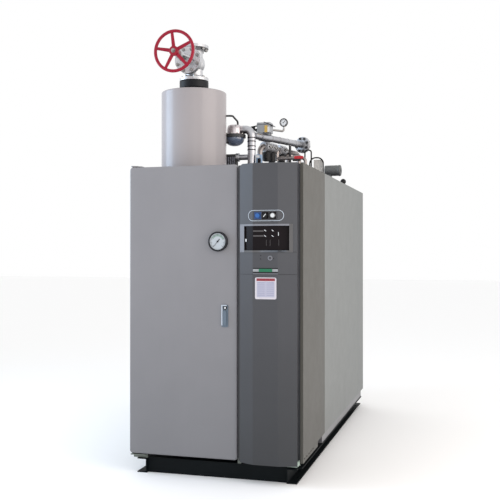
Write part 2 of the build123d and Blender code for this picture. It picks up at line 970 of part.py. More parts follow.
# Thin tube from the side of the tank, down to the top of the trap
sense_turn = math.radians(sense_tube_angle)
sense_out = Vector(math.cos(sense_turn), math.sin(sense_turn), 0)
sense_foot = Vector(tank_x, tank_y, sense_tube_height + sense_tube_rise) + sense_out * tank_radius
sense_x = trap_x + sense_tube_shift
sense_points = [
    tuple(sense_foot),
    tuple(sense_foot + sense_out * sense_tube_reach),
    (sense_x, riser_y, sense_tube_height),
    (sense_x, riser_y, trap_rim_height + trap_dome_height),
]
with BuildPart() as sense_tube:
    add(pipes([(sense_points, sense_tube_bend, sense_tube_diameter)]))
finish(sense_tube, "sense_tube")

# Long header from the riser, with a valve barrel, a closed flange at its end, and a post to the deck
header_end = Vector(left + header_end_offset, front + header_end_setback, header_level)
header_root = Vector(riser_x, riser_y, header_level)
header_run = (header_end - header_root).normalized()
header_start = header_root + header_run * (riser_diameter / 2)
actuator_y = front + actuator_setback
actuator_centre = header_root + header_run * ((actuator_y - riser_y) / header_run.Y)
barrel_half = header_run * (header_valve_length / 2)
flange_face = header_end - header_run * header_flange_thickness
header_post = header_root + header_run * ((front + header_post_setback - riser_y) / header_run.Y)
with BuildPart() as header_pipe:
    rod(tuple(header_start), tuple(header_end), header_diameter / 2)
    rod((header_post.X, header_post.Y, deck_top), tuple(header_post), header_post_diameter / 2)
    rod(
        tuple(actuator_centre - barrel_half),
        tuple(actuator_centre + barrel_half),
        header_valve_diameter / 2,
    )
    rod(
        tuple(flange_face),
        tuple(header_end),
        header_flange_diameter / 2,
    )
finish(header_pipe, "header_pipe")

# Actuator box on the header's valve, with a bracket on its left side
actuator_x = actuator_centre.X
actuator_top = actuator_low + actuator_height
with BuildPart() as actuator:
    block(
        (actuator_x - actuator_width / 2, actuator_y - actuator_depth / 2, actuator_low),
        (actuator_x + actuator_width / 2, actuator_y + actuator_depth / 2, actuator_top),
    )
    fillet(actuator.edges().filter_by(Axis.Z), actuator_edge)
    rod(
        (actuator_x, actuator_y, header_level + header_valve_diameter / 2),
        (actuator_x, actuator_y, actuator_low),
        actuator_neck / 2,
    )
finish(actuator, "actuator_box")
bracket_right = actuator_x - actuator_width / 2
bracket_top = actuator_low + bracket_lift + bracket_height
with BuildPart() as bracket:
    with BuildSketch(Plane.XZ.offset(-actuator_y)):
        with BuildLine():
            Polyline(
                (bracket_right, bracket_top - bracket_height),
                (bracket_right, bracket_top),
                (bracket_right - bracket_width, bracket_top - bracket_tip_drop),
                close=True,
            )
        make_face()
        with Locations((bracket_right - bracket_hole_inset, bracket_top - bracket_hole_drop)):
            Circle(bracket_hole / 2, mode=Mode.SUBTRACT)
    extrude(amount=bracket_thickness)
finish(bracket, "actuator_bracket")

# Small gauge on a bent pipe from the header
pipe_foot = header_root + header_run * ((front + gauge_pipe_setback - riser_y) / header_run.Y)
small_gauge_x = left + small_gauge_offset
small_gauge_y = front + small_gauge_setback
small_radius = small_gauge_diameter / 2
gauge_points = [
    (pipe_foot.X, pipe_foot.Y, header_level + header_diameter / 2),
    (pipe_foot.X, pipe_foot.Y, gauge_pipe_level),
    (small_gauge_x, small_gauge_y, gauge_pipe_level),
    (small_gauge_x, small_gauge_y, small_gauge_height - small_gauge_socket),
]
with BuildPart() as small_gauge:
    add(pipes([(gauge_points, gauge_pipe_bend, gauge_pipe_diameter)]))
    rod(
        (small_gauge_x, small_gauge_y + small_gauge_depth / 2, small_gauge_height),
        (small_gauge_x, small_gauge_y - small_gauge_depth / 2, small_gauge_height),
        small_radius,
    )
finish(small_gauge, "small_gauge")

# Fuel train: a pipe from the deck and back to it, with three valve bodies
train_start = Vector(left + train_start_offset, front + train_start_setback, train_level)
train_end = Vector(left + train_end_offset, front + train_end_setback, train_level)
train_run = (train_end - train_start).normalized()
train_length = (train_end - train_start).length
train_points = [
    (train_start.X, train_start.Y, deck_top),
    tuple(train_start),
    tuple(train_end),
    (train_end.X, train_end.Y, deck_top),
]
body_half = train_run * (train_body_length / 2)
branch_y = front + branch_setback
branch_root = train_start + train_run * ((branch_y - train_start.Y) / train_run.Y)
branch_start = branch_root.X + branch_boss_reach
body_centres = [train_start + train_run * (train_length * place) for place in train_body_places]
with BuildPart() as fuel_train:
    add(pipes([(train_points, train_bend, train_diameter)]))
    for centre in body_centres:
        rod(tuple(centre - body_half), tuple(centre + body_half), train_body_diameter / 2)
    rod(
        (branch_root.X, branch_y, train_level),
        (branch_root.X, branch_y, branch_level - branch_boss_diameter / 2),
        branch_boss_diameter / 2,
    )
    rod(
        (branch_root.X, branch_y, branch_level),
        (branch_start, branch_y, branch_level),
        branch_boss_diameter / 2,
    )
finish(fuel_train, "fuel_train")
with BuildPart() as coils:
    for centre in body_centres:
        rod(
            (centre.X, centre.Y, train_level - train_body_diameter / 2),
            (centre.X, centre.Y, coil_low),
            coil_diameter / 2,
        )
finish(coils, "fuel_valve_coils")
regulator_centre = train_start + train_run * (train_length * regulator_place)
regulator_seat = train_level - train_diameter / 2
regulator = turned(
    (regulator_centre.X, regulator_centre.Y, regulator_seat),
    (0, 0, -1),
    [
        (0, 0),
        (regulator_seat_diameter / 2, 0),
        (regulator_diameter / 2, regulator_rim_low),
        (regulator_diameter / 2, regulator_rim_high),
        (regulator_cap_diameter / 2, regulator_shoulder),
        (regulator_cap_diameter / 2, regulator_cap_height),
        (0, regulator_cap_height),
    ],
)
with BuildPart() as fuel_regulator:
    add(regulator)
finish(fuel_regulator, "fuel_regulator")

# Branch from the train with a lever valve
lever_valve_x = left + lever_valve_offset
branch_points = [
    (branch_start, branch_y, branch_level),
    (left + branch_end_offset, branch_y, branch_level),
    (left + branch_end_offset, branch_y, deck_top),
]
boss_front = branch_y - lever_boss_reach
with BuildPart() as branch:
    add(pipes([(branch_points, branch_bend, branch_diameter)]))
    rod(
        (lever_valve_x - lever_valve_length / 2, branch_y, branch_level),
        (lever_valve_x + lever_valve_length / 2, branch_y, branch_level),
        lever_valve_diameter / 2,
    )
    rod(
        (lever_valve_x, branch_y, branch_level),
        (lever_valve_x, boss_front, branch_level),
        lever_boss_diameter / 2,
    )
finish(branch, "branch_valve")
lever_face = boss_front - seat_gap
with BuildPart() as lever:
    with BuildSketch(Plane.XZ.offset(-lever_face)):
        with Locations((lever_valve_x + (lever_length - lever_height) / 2, branch_level)):
            SlotOverall(lever_length, lever_height)
    extrude(amount=lever_thickness)
finish(lever, "branch_valve_lever")

# Feed valve: a finned block on the deck with a short pipe to the riser
feed_x = left + feed_offset
feed_left = feed_x - feed_width / 2
feed_front = riser_y - feed_depth / 2
with BuildPart() as feed_valve:
    block(
        (feed_left, feed_front, deck_top),
        (feed_x + feed_width / 2, riser_y + feed_depth / 2, feed_top),
    )
    for index in range(int(feed_width / feed_fin_pitch)):
        slot_x = feed_left + (index + 0.5) * feed_fin_pitch
        block(
            (slot_x, feed_front, deck_top + feed_fin_pitch),
            (slot_x + feed_fin_pitch / 2, feed_front + feed_fin_depth, feed_top - feed_fin_pitch),
            mode=Mode.SUBTRACT,
        )
    rod(
        (feed_x, riser_y, feed_pipe_level),
        (riser_x - riser_diameter / 2, riser_y, feed_pipe_level),
        feed_pipe_diameter / 2,
    )
finish(feed_valve, "feed_valve")
with BuildPart() as coil_box:
    block(
        (left + coil_box_offset - coil_box_size / 2, riser_y - coil_box_size / 2, deck_top),
        (left + coil_box_offset + coil_box_size / 2, riser_y + coil_box_size / 2, coil_box_top),
    )
    fillet(coil_box.edges().filter_by(Axis.Z), coil_box_size / 6)
finish(coil_box, "pilot_coil")

# Conduit loops, each up from the deck and back into it
loop_runs = []
for first, second, setback, top, bend in conduit_loops:
    loop_points = [
        (left + first, front + setback, deck_top),
        (left + first, front + setback, top),
        (left + second, front + setback, top),
        (left + second, front + setback, deck_top),
    ]
    loop_runs.append((loop_points, bend, conduit_diameter))
with BuildPart() as conduits:
    add(pipes(loop_runs))
finish(conduits, "conduit_loops")
with BuildPart() as junction:
    junction_x = left + junction_offset
    junction_y = front + junction_setback
    block(
        (junction_x - junction_width / 2, junction_y - junction_width / 2, deck_top),
        (junction_x + junction_width / 2, junction_y + junction_width / 2, junction_top),
    )
finish(junction, "junction_box")

# Motor lying across the deck on a saddle, and a domed knob behind it
motor_x = left + motor_offset
motor_y = front + motor_setback
saddle_left = motor_x - motor_length / 2 + motor_saddle_inset
with BuildPart() as motor:
    rod(
        (motor_x - motor_length / 2, motor_y, motor_level),
        (motor_x + motor_length / 2, motor_y, motor_level),
        motor_diameter / 2,
    )
    fillet(motor.edges().filter_by(GeomType.CIRCLE).sort_by(Axis.X)[-1], motor_round_end)
    block(
        (saddle_left, motor_y - motor_saddle_width / 2, deck_top),
        (saddle_left + motor_saddle_length, motor_y + motor_saddle_width / 2, motor_level),
    )
finish(motor, "deck_motor")
with BuildPart() as knob:
    knob_x = left + knob_offset
    knob_y = front + knob_setback
    rod((knob_x, knob_y, deck_top), (knob_x, knob_y, knob_level), knob_stalk_diameter / 2)
    with Locations((knob_x, knob_y, knob_level)):
        Sphere(knob_diameter / 2)
finish(knob, "deck_knob")
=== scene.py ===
"""Looks of a packaged steam boiler, laid out as an add-on: finishes, fine pieces and a studio stage.

Everything is in metres in the CAD frame: +X to the right of the door, +Y to the back, +Z up.
"""
import json
import math

import bmesh
import bpy
import numpy as np
from bpy.props import FloatProperty, FloatVectorProperty, IntProperty, PointerProperty
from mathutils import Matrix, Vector


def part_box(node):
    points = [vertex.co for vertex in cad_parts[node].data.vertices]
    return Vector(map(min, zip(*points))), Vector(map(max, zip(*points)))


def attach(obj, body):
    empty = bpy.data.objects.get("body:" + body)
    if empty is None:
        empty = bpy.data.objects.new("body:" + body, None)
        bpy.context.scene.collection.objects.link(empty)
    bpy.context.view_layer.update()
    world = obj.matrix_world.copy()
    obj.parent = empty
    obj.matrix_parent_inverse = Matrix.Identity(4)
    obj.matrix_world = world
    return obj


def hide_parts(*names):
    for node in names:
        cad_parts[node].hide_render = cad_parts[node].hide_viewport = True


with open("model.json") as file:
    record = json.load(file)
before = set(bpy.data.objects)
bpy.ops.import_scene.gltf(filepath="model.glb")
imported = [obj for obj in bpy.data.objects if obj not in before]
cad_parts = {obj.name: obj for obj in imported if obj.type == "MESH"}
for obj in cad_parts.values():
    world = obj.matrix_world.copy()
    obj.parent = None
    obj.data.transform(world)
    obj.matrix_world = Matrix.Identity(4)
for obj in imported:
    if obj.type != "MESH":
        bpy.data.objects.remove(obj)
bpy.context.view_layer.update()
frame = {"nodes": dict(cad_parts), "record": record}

bl_info = {
    "name": "Steam boiler looks",
    "version": (1, 0, 0),
    "blender": (4, 5, 0),
    "location": "View3D > Sidebar > Boiler",
    "description": "Dresses the packed steam boiler with finishes, fine pieces and a studio stage",
    "category": "Object",
}

ROOT = "cabinet"
X_AXIS = np.array((1.0, 0.0, 0.0))
Y_AXIS = np.array((0.0, 1.0, 0.0))
Z_AXIS = np.array((0.0, 0.0, 1.0))
WELD = 1e-6  # points nearer than this are joined


def corner(node_name):
    """Lowest and highest corners of a CAD node as arrays."""
    low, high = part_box(node_name)
    return np.array(low), np.array(high)


def middle(node_name):
    """Centre of a CAD node's box."""
    low, high = corner(node_name)
    return (low + high) / 2


def half_width(node_name):
    """Radius of a round CAD node that faces the front."""
    low, high = corner(node_name)
    return (high[0] - low[0]) / 2


DOOR_LOW, DOOR_HIGH = corner("front_door")
COLUMN_LOW, COLUMN_HIGH = corner("control_column")
WINDOW_LOW, WINDOW_HIGH = corner("display_window")
DECK_LOW, DECK_HIGH = corner("top_deck")
DECK_TOP = DECK_HIGH[2]


# Shapes: each returns a list of (points, quads) pairs, whose points come from array formulas


def unit(vectors):
    """Vectors of length one in the same directions."""
    vectors = np.asarray(vectors, float)
    return vectors / np.linalg.norm(vectors, axis=-1, keepdims=True)


def circle(count, turn=0.0):
    """Angles of evenly spaced places round a circle, the first at turn."""
    return np.linspace(0, 2 * np.pi, count, endpoint=False) + turn


def around(first, second, count, turn=0.0):
    """Vectors round a circle: cos a first + sin a second."""
    angle = circle(count, turn)
    return np.cos(angle)[:, None] * first + np.sin(angle)[:, None] * second


def frame_across(axis):
    """Two unit vectors that are square to an axis and to each other."""
    axis = unit(axis)
    steep = 0.9
    helper = Z_AXIS if abs(axis[2]) < steep else X_AXIS
    first = unit(np.cross(helper, axis))
    return first, np.cross(axis, first)


def ring_places(centre, axis, radius, count, turn=0.0):
    """Places on a circle round an axis."""
    return np.asarray(centre) + radius * around(*frame_across(axis), count, turn)


def grid_quads(rows, columns, close_rows=False):
    """Quads of a grid of rows by columns points, closed across its columns and, if asked for, its rows."""
    row = np.arange(rows if close_rows else rows - 1)
    r, c = np.meshgrid(row, np.arange(columns), indexing="ij")
    next_r = (r + 1) % rows
    next_c = (c + 1) % columns
    quads = (r * columns + c, r * columns + next_c, next_r * columns + next_c, next_r * columns + c)
    return np.stack(quads, -1).reshape(-1, 4)


def lathe(centre, axis, profile, segments=48):
    """Turned surface of profile rows (r, h): centre + h axis + r (cos a, sin a) across the axis."""
    radius, height = np.asarray(profile, float).T
    ring = around(*frame_across(axis), segments)
    points = np.asarray(centre) + height[:, None, None] * unit(axis) + radius[:, None, None] * ring
    return [(points.reshape(-1, 3), grid_quads(len(radius), segments))]


def rod(start, end, radius, segments=20, edge=0.0):
    """Round bar from start to end: a turned profile with chamfers of size edge at both ends."""
    start = np.asarray(start, float)
    along = np.asarray(end, float) - start
    span = np.linalg.norm(along)
    near = [(0, 0), (radius - edge, 0), (radius, edge)]
    far = [(reach, span - height) for reach, height in reversed(near)]
    return lathe(start, along, near + far, segments=segments)


def disc(start, axis, radius, height, edge, segments=40):
    """Round plate from start along axis, turned, with quarter circles of radius edge at both ends."""
    turn = np.linspace(0, np.pi / 2, 5)
    near = np.stack((radius - edge + edge * np.sin(turn), edge - edge * np.cos(turn)), -1)
    far = np.stack((radius - edge + edge * np.cos(turn), height - edge + edge * np.sin(turn)), -1)
    return lathe(start, axis, np.concatenate(([(0, 0)], near, far, [(0, height)])), segments=segments)


def ring_tube(path, radius, sides=12):
    """Closed round tube: at each point of its path a circle square to the path, at p + r (cos a u + sin a v).

    The vector u is carried from point to point, less its share along the path, so that the tube never twists.
    """
    path = np.asarray(path, float)
    ahead = unit(np.roll(path, -1, 0) - path)
    tangent = unit(ahead + np.roll(ahead, 1, 0))
    carried, _ = frame_across(tangent[0])
    rows = []
    for direction in tangent:
        carried = unit(carried - (carried @ direction) * direction)
        rows.append(carried)
    first = np.array(rows)[:, None]
    second = np.cross(tangent, rows)[:, None]
    angle = circle(sides)[None, :, None]
    points = path[:, None] + radius * (np.cos(angle) * first + np.sin(angle) * second)
    return [(points.reshape(-1, 3), grid_quads(len(path), sides, close_rows=True))]


def round_rim(centre, radius, thickness, count, sides=12):
    """Round bar of radius thickness, bent into a circle that faces the front."""
    return ring_tube(ring_places(centre, -Y_AXIS, radius, count), thickness, sides)


def capped(sections):
    """Solid through rows of like sections, closed by fans round the mean points of its two ends."""
    count = sections.shape[1]
    near, far = [np.repeat(sections[row].mean(0)[None, None], count, 1) for row in (0, -1)]
    points = np.concatenate((near, sections, far))
    return [(points.reshape(-1, 3), grid_quads(len(points), count))]


def prism(outline, a, b, low, high):
    """Solid with an outline of (share of a, share of b) points, carried from place low to place high."""
    outline = np.asarray(outline, float)
    across = outline[:, :1] * np.asarray(a) + outline[:, 1:] * np.asarray(b)
    return capped(np.stack([np.asarray(place) + across for place in (low, high)]))


def plate(outline, origin, a, b, thickness):
    """Flat plate of an outline on the plane of a and b at origin, thickened along their cross product."""
    return prism(outline, a, b, origin, np.asarray(origin) + np.cross(a, b) * thickness)


def rounded_rectangle(width, height, radius, steps=5):
    """Outline of a rectangle about (0, 0) with quarter-circle corners."""
    turn = np.linspace(0, np.pi / 2, steps + 1)
    arcs = []
    for index, (side, up) in enumerate(((1, 1), (-1, 1), (-1, -1), (1, -1))):
        angle = turn + index * np.pi / 2
        centre = np.array((side * (width / 2 - radius), up * (height / 2 - radius)))
        arcs.append(centre + radius * np.stack((np.cos(angle), np.sin(angle)), -1))
    return np.concatenate(arcs)


def box(low, high):
    """Straight box between two corners, as a prism of its plan."""
    low = np.asarray(low, float)
    width, depth, height = np.asarray(high, float) - low
    outline = ((0, 0), (width, 0), (width, depth), (0, depth))
    return prism(outline, X_AXIS, Y_AXIS, low, low + Z_AXIS * height)


def facing(left, right, low, high, front, proud, under=0.001):
    """Thin box on a face that looks to the front, proud of the face and a little under it."""
    return box((left, front - proud, low), (right, front + under, high))


def hexagon_bar(start, axis, across, height):
    """Six-sided bar from start along axis; its corners lie across / root 3 from its middle."""
    start = np.asarray(start, float)
    angle = circle(6)
    outline = across / math.sqrt(3) * np.stack((np.cos(angle), np.sin(angle)), -1)
    return prism(outline, *frame_across(axis), start, start + unit(axis) * height)


def bolt(seat, axis, thread, stub=True):
    """Bolt end on a seat, in shares of its thread: a washer, a nut and, if asked for, a stub."""
    seat = np.asarray(seat, float)
    along = unit(axis) * thread
    washer_height, washer_radius = 0.18, 0.95
    nut_across, nut_height = 1.55, 0.75
    stub_height, stub_radius, stub_edge = 1.25, 0.48, 0.08
    shapes = rod(seat, seat + along * washer_height, radius=thread * washer_radius, segments=14)
    shapes += hexagon_bar(seat + along * washer_height, axis, across=thread * nut_across,
                          height=thread * nut_height)
    if stub:
        shapes += rod(seat, seat + along * stub_height, radius=thread * stub_radius, segments=12,
                      edge=thread * stub_edge)
    return shapes


def bolts(centre, axis, radius, count, thread, turn=0.0, stub=True):
    """Circle of bolt ends on a flange's face that looks along axis."""
    shapes = []
    for seat in ring_places(centre, axis, radius, count, turn):
        shapes += bolt(seat, axis, thread, stub)
    return shapes


def solid(name, shapes, slot, finish=None, body=ROOT, bevel=0.0, sharp=35.0, stands_for=()):
    """Make one piece from shapes: join them, close seams and poles, turn faces outwards, shade and ride.

    The finish is the slot's own unless another is named.
    """
    starts = np.cumsum([0] + [len(points) for points, _ in shapes])
    points = np.concatenate([points for points, _ in shapes])
    quads = np.concatenate([quads + start for (_, quads), start in zip(shapes, starts)])
    mesh = bpy.data.meshes.new(name)
    mesh.from_pydata(points.tolist(), [], quads.tolist())
    work = bmesh.new()
    work.from_mesh(mesh)
    bmesh.ops.remove_doubles(work, verts=work.verts, dist=WELD)
    bmesh.ops.dissolve_degenerate(work, edges=work.edges, dist=WELD)
    bmesh.ops.recalc_face_normals(work, faces=work.faces)
    work.to_mesh(mesh)
    work.free()
    mesh.shade_smooth()
    mesh.set_sharp_from_angle(angle=math.radians(sharp))
    mesh.materials.append(finish_of(finish or slot))
    piece = bpy.data.objects.new(name, mesh)
    bpy.context.scene.collection.objects.link(piece)
    if bevel:
        edge = piece.modifiers.new("edge", "BEVEL")
        edge.width = bevel
        edge.segments = 2
        edge.limit_method = "ANGLE"
        edge.angle_limit = math.radians(sharp)
        edge.harden_normals = False
    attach(piece, body)
    if stands_for:
        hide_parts(*stands_for)


# Colours and sizes that a user would change


def linear(red, green, blue):
    """Linear colour of a display colour given in steps of 0 to 255, by the sRGB curve."""
    display = np.array((red, green, blue)) / 255
    return tuple(np.where(display <= 0.04045, display / 12.92, ((display + 0.055) / 1.055) ** 2.4))


def tint(name, description, red, green, blue):
    """Colour property with a display colour as its default."""
    default = linear(red, green, blue)
    return FloatVectorProperty(name=name, description=description, subtype="COLOR", size=3, min=0, max=1,
                               default=default)


def metres(name, description, default):
    """Length property."""
    return FloatProperty(name=name, description=description, unit="LENGTH", default=default, precision=4)


def angle_of(name, description, degrees):
    """Angle property with its default in degrees."""
    return FloatProperty(name=name, description=description, subtype="ANGLE", default=math.radians(degrees))


def count_of(name, description, default, least):
    """Number of like pieces."""
    return IntProperty(name=name, description=description, default=default, min=least)


class BoilerFinishes(bpy.types.PropertyGroup):
    """Colours of the paints, metals and plastics."""
    cabinet_grey: tint("Door grey", "Paint of the door", 133, 132, 136)
    panel_warm_grey: tint("Panel warm grey", "Paint of the front side panels", 71, 69, 63)
    panel_light_grey: tint("Panel light grey", "Paint of the rear side panels and the back", 114, 117, 116)
    column_grey: tint("Column grey", "Paint of the control column", 62, 63, 68)
    base_black: tint("Base black", "Paint of the base rails", 8, 14, 17)
    chassis_green: tint("Chassis green", "Paint of brackets and deck", 112, 118, 110)
    hook_green: tint("Hook green", "Pale paint of the hook under the column", 146, 162, 152)
    tank_grey: tint("Tank grey", "Paint of the separator tank", 156, 151, 153)
    valve_silver: tint("Valve silver", "Aluminium paint of the stop valve", 206, 207, 210)
    flange_black: tint("Flange black", "Paint of the outlet flange", 20, 22, 27)
    wheel_red: tint("Wheel red", "Paint of the handwheel", 148, 11, 42)
    stem_steel: tint("Stem steel", "Bright steel of stems and bolts", 170, 168, 166)
    pipe_silver: tint("Cladding silver", "Sheet cladding of the pipes", 190, 191, 196)
    flange_steel: tint("Flange steel", "Dull steel of the header's flange", 172, 173, 176)
    brass: tint("Brass", "Brass fittings", 164, 156, 153)
    dark_iron: tint("Dark iron", "Cast valve bodies", 66, 66, 68)
    black_plastic: tint("Black plastic", "Knobs, conduits and covers", 26, 26, 28)
    grey_plastic: tint("Grey plastic", "Instrument housings", 150, 154, 158)
    dial_white: tint("Dial white", "Faces of the gauges", 178, 185, 192)
    window_dark: tint("Window dark", "Smoked display window", 26, 22, 24)
    button_blue: tint("Button blue", "Push button cap", 38, 92, 160)
    lamp_white: tint("Lamp white", "Pilot lamp lens", 216, 219, 222)
    lever_red: tint("Lever red", "Sleeve of the branch lever", 196, 30, 42)
    coil_blue: tint("Coil blue", "Light blue coil housing", 132, 160, 190)
    latch_chrome: tint("Latch chrome", "Plated latch", 205, 207, 210)
    latch_face: tint("Latch face", "Blue grey face of the latch", 92, 106, 120)
    # The bright latch lip colour is a painted highlight on the latch's left and top edges; it also colours
    # the pale line round the controls
    lip_silver: tint("Latch lip", "Bright lip of the latch", 188, 198, 210)
    lens_green: tint("Lens green", "Green middle of the indicator strip", 18, 104, 72)
    band_green: tint("Band green", "Pale green band on the door gauge", 134, 154, 147)
    rim_black: tint("Rim black", "Blue black rim of the door gauge", 17, 21, 34)
    card_red: tint("Card red", "Band on the card", 136, 44, 56)
    indicator_yellow: tint("Indicator yellow", "Position indicator of the actuator", 206, 172, 84)
    card_paper: tint("Card paper", "Paper of the card", 172, 172, 190)
    card_edge: tint("Card edge", "Pale border of the card", 200, 196, 204)
    # The pale frame grey is a painted highlight on the display bay's left and top, and also colours the
    # strip's ledge and the key ring; the dim edge grey is painted shade on the bay's right and bottom
    frame_grey: tint("Frame grey", "Pale frame of the display bay", 122, 124, 132)
    edge_grey: tint("Edge grey", "Dim edges of the display bay", 84, 83, 84)
    bar_grey: tint("Bar grey", "Dim bars in the display", 74, 71, 72)
    fin_blue: tint("Fin blue", "Worn edges of the feed block's fins", 158, 160, 174)
    field_blue: tint("Field blue", "Plate round the push button", 28, 62, 112)
    motor_grey: tint("Motor grey", "Paint of the deck motor", 96, 98, 98)
    box_grey: tint("Box grey", "Paint of the junction box", 204, 202, 198)
    dome_pink: tint("Dome silver", "Warm aluminium of the trap's dome", 218, 210, 213)
    bowl_blue: tint("Bowl blue", "Blue grey paint of the trap's bowl", 88, 100, 122)
    rule_blue: tint("Rule blue", "Ruled lines on the card", 132, 134, 164)


# Nodes of a material: sockets are linked and plain values are set


def put(tree, socket, value):
    """Link a socket to a socket, or set its value."""
    if isinstance(value, bpy.types.NodeSocket):
        tree.links.new(value, socket)
    else:
        socket.default_value = value


def node(tree, kind, **inputs):
    """Add a node and give its inputs, whose names have underscores for spaces."""
    made = tree.nodes.new(kind)
    for name, value in inputs.items():
        put(tree, made.inputs[name.replace("_", " ")], value)
    return made


def mix(tree, factor, first, second, mode="MIX"):
    """Colour between first and second; factor 0 gives first."""
    made = tree.nodes.new("ShaderNodeMix")
    made.data_type = "RGBA"
    made.blend_type = mode
    colour_sockets = {0: factor, 6: first, 7: second}
    for index, value in colour_sockets.items():
        put(tree, made.inputs[index], value)
    return made.outputs[2]


def maths(tree, operation, first, second):
    """Result of an operation on two values."""
    made = tree.nodes.new("ShaderNodeMath")
    made.operation = operation
    put(tree, made.inputs[0], first)
    put(tree, made.inputs[1], second)
    return made.outputs[0]


def plus(tree, first, second):
    """Sum of two values."""
    return maths(tree, "ADD", first, second)


def times(tree, first, second):
    """Product of two values."""
    return maths(tree, "MULTIPLY", first, second)


def between(tree, value, low, high, to_low=0.0, to_high=1.0):
    """Value mapped smoothly from low..high to to_low..to_high."""
    made = tree.nodes.new("ShaderNodeMapRange")
    made.interpolation_type = "SMOOTHSTEP"
    for socket, given in zip(made.inputs, (value, low, high, to_low, to_high)):
        put(tree, socket, given)
    return made.outputs[0]


def object_place(tree):
    """Place on the piece, in metres in the CAD frame."""
    return tree.nodes.new("ShaderNodeTexCoord").outputs["Object"]


def height_of(tree, vector):
    """Third part of a vector."""
    return node(tree, "ShaderNodeSeparateXYZ", Vector=vector).outputs["Z"]


def noise(tree, scale, detail=3.0, roughness=0.55, stretch=(1.0, 1.0, 1.0)):
    """Noise in waves per metre; stretch scales it along the axes."""
    place = node(tree, "ShaderNodeMapping", Vector=object_place(tree), Scale=stretch).outputs[0]
    made = node(tree, "ShaderNodeTexNoise", Vector=place, Scale=scale, Detail=detail, Roughness=roughness)
    return made.outputs["Fac"]


def group(build, inputs, outputs):
    """Shader group named after its function: tuples among its inputs, and its output Color, are colours."""
    tree = bpy.data.node_groups.new(build.__name__, "ShaderNodeTree")
    for label, default in inputs.items():
        kind = "NodeSocketColor" if isinstance(default, tuple) else "NodeSocketFloat"
        tree.interface.new_socket(label, in_out="INPUT", socket_type=kind).default_value = default
    for label in outputs:
        kind = "NodeSocketColor" if label == "Color" else "NodeSocketFloat"
        tree.interface.new_socket(label, in_out="OUTPUT", socket_type=kind)
    given = tree.nodes.new("NodeGroupInput").outputs
    taken = tree.nodes.new("NodeGroupOutput").inputs
    return tree, given, taken


def use(tree, build, **inputs):
    """Place a shared group in a material, built on its first use, and return its outputs."""
    made = tree.nodes.new("ShaderNodeGroup")
    made.node_tree = bpy.data.node_groups.get(build.__name__) or build()
    for label, value in inputs.items():
        put(tree, made.inputs[label], value)
    return made.outputs


# Shared effects

MID_GREY = (0.5, 0.5, 0.5, 1.0)
DULL_METAL = (0.22, 0.21, 0.2, 1.0)
# Colour of the painted shade and painted floor reflection on metal that looks down
FLOOR_SHADE = (0.02, 0.021, 0.025, 1.0)


def paint_film():
    """Group: sprayed paint, with slow changes of tone, faint vertical runs and a fine orange peel."""
    inputs = {"Color": MID_GREY, "Mottle": 0.1, "Roughness": 0.4}
    tree, given, taken = group(paint_film, inputs, ("Color", "Roughness", "Height"))
    slow = noise(tree, scale=1.7, detail=4)
    runs = noise(tree, scale=6.0, stretch=(1.0, 1.0, 0.12))
    slow_share, runs_share, smear_share = 0.65, 0.35, 0.14
    tone = plus(tree, times(tree, slow, slow_share), times(tree, runs, runs_share))
    shade = between(tree, tone, 0.3, 0.7, to_low=-1.0)
    gain = plus(tree, times(tree, shade, given["Mottle"]), 1.0)
    grey = node(tree, "ShaderNodeCombineColor", Red=gain, Green=gain, Blue=gain).outputs[0]
    put(tree, taken["Color"], mix(tree, 1.0, given["Color"], grey, "MULTIPLY"))
    smear = maths(tree, "SUBTRACT", noise(tree, scale=9.0, detail=5, roughness=0.65), 0.5)
    put(tree, taken["Roughness"], plus(tree, given["Roughness"], times(tree, smear, smear_share)))
    put(tree, taken["Height"], noise(tree, scale=260.0, detail=2, roughness=0.5))
    return tree


def low_grime():
    """Group: painted shade that grows darker towards a low height, broken up by noise."""
    inputs = {"Color": MID_GREY, "Grime": (0.05, 0.05, 0.05, 1.0), "Low": 0.1, "High": 1.0, "Amount": 0.3}
    tree, given, taken = group(low_grime, inputs, ("Color",))
    ragged_share = 0.25
    ragged = times(tree, noise(tree, scale=5.0, detail=5), ragged_share)
    height = plus(tree, height_of(tree, object_place(tree)), ragged)
    depth = between(tree, height, given["Low"], given["High"], 1.0, 0.0)
    mask = times(tree, depth, given["Amount"])
    put(tree, taken["Color"], mix(tree, mask, given["Color"], given["Grime"]))
    return tree


def cast_grain():
    """Group: sand-cast skin, a lumpy height with pits, and a mask of its hollows."""
    tree, given, taken = group(cast_grain, {"Scale": 160.0}, ("Height", "Hollow"))
    lumps = noise(tree, scale=90.0, detail=5, roughness=0.7)
    pit_share = 0.5
    pits = node(tree, "ShaderNodeTexVoronoi", Vector=object_place(tree), Scale=given["Scale"])
    put(tree, taken["Height"], plus(tree, lumps, times(tree, pits.outputs["Distance"], pit_share)))
    hollows = noise(tree, scale=34.0, detail=6, roughness=0.7)
    put(tree, taken["Hollow"], between(tree, hollows, 0.42, 0.66))
    return tree


def rolled_sheet():
    """Group: sheet metal, with long faint rolling lines along one axis, dents and dull patches."""
    inputs = {"Color": (0.6, 0.6, 0.6, 1.0), "Roughness": 0.3}
    tree, given, taken = group(rolled_sheet, inputs, ("Color", "Roughness", "Height"))
    lines = noise(tree, scale=40.0, stretch=(1.0, 0.06, 1.0))
    patches = noise(tree, scale=7.0, detail=5, roughness=0.65)
    dull = between(tree, patches, 0.35, 0.7, to_high=0.35)
    put(tree, taken["Color"], mix(tree, dull, given["Color"], DULL_METAL))
    worn_share, mean_worn, line_share = 0.28, 0.2, 0.2
    worn = maths(tree, "SUBTRACT", times(tree, plus(tree, lines, patches), worn_share), mean_worn)
    put(tree, taken["Roughness"], plus(tree, given["Roughness"], worn))
    put(tree, taken["Height"], plus(tree, patches, times(tree, lines, line_share)))
    return tree


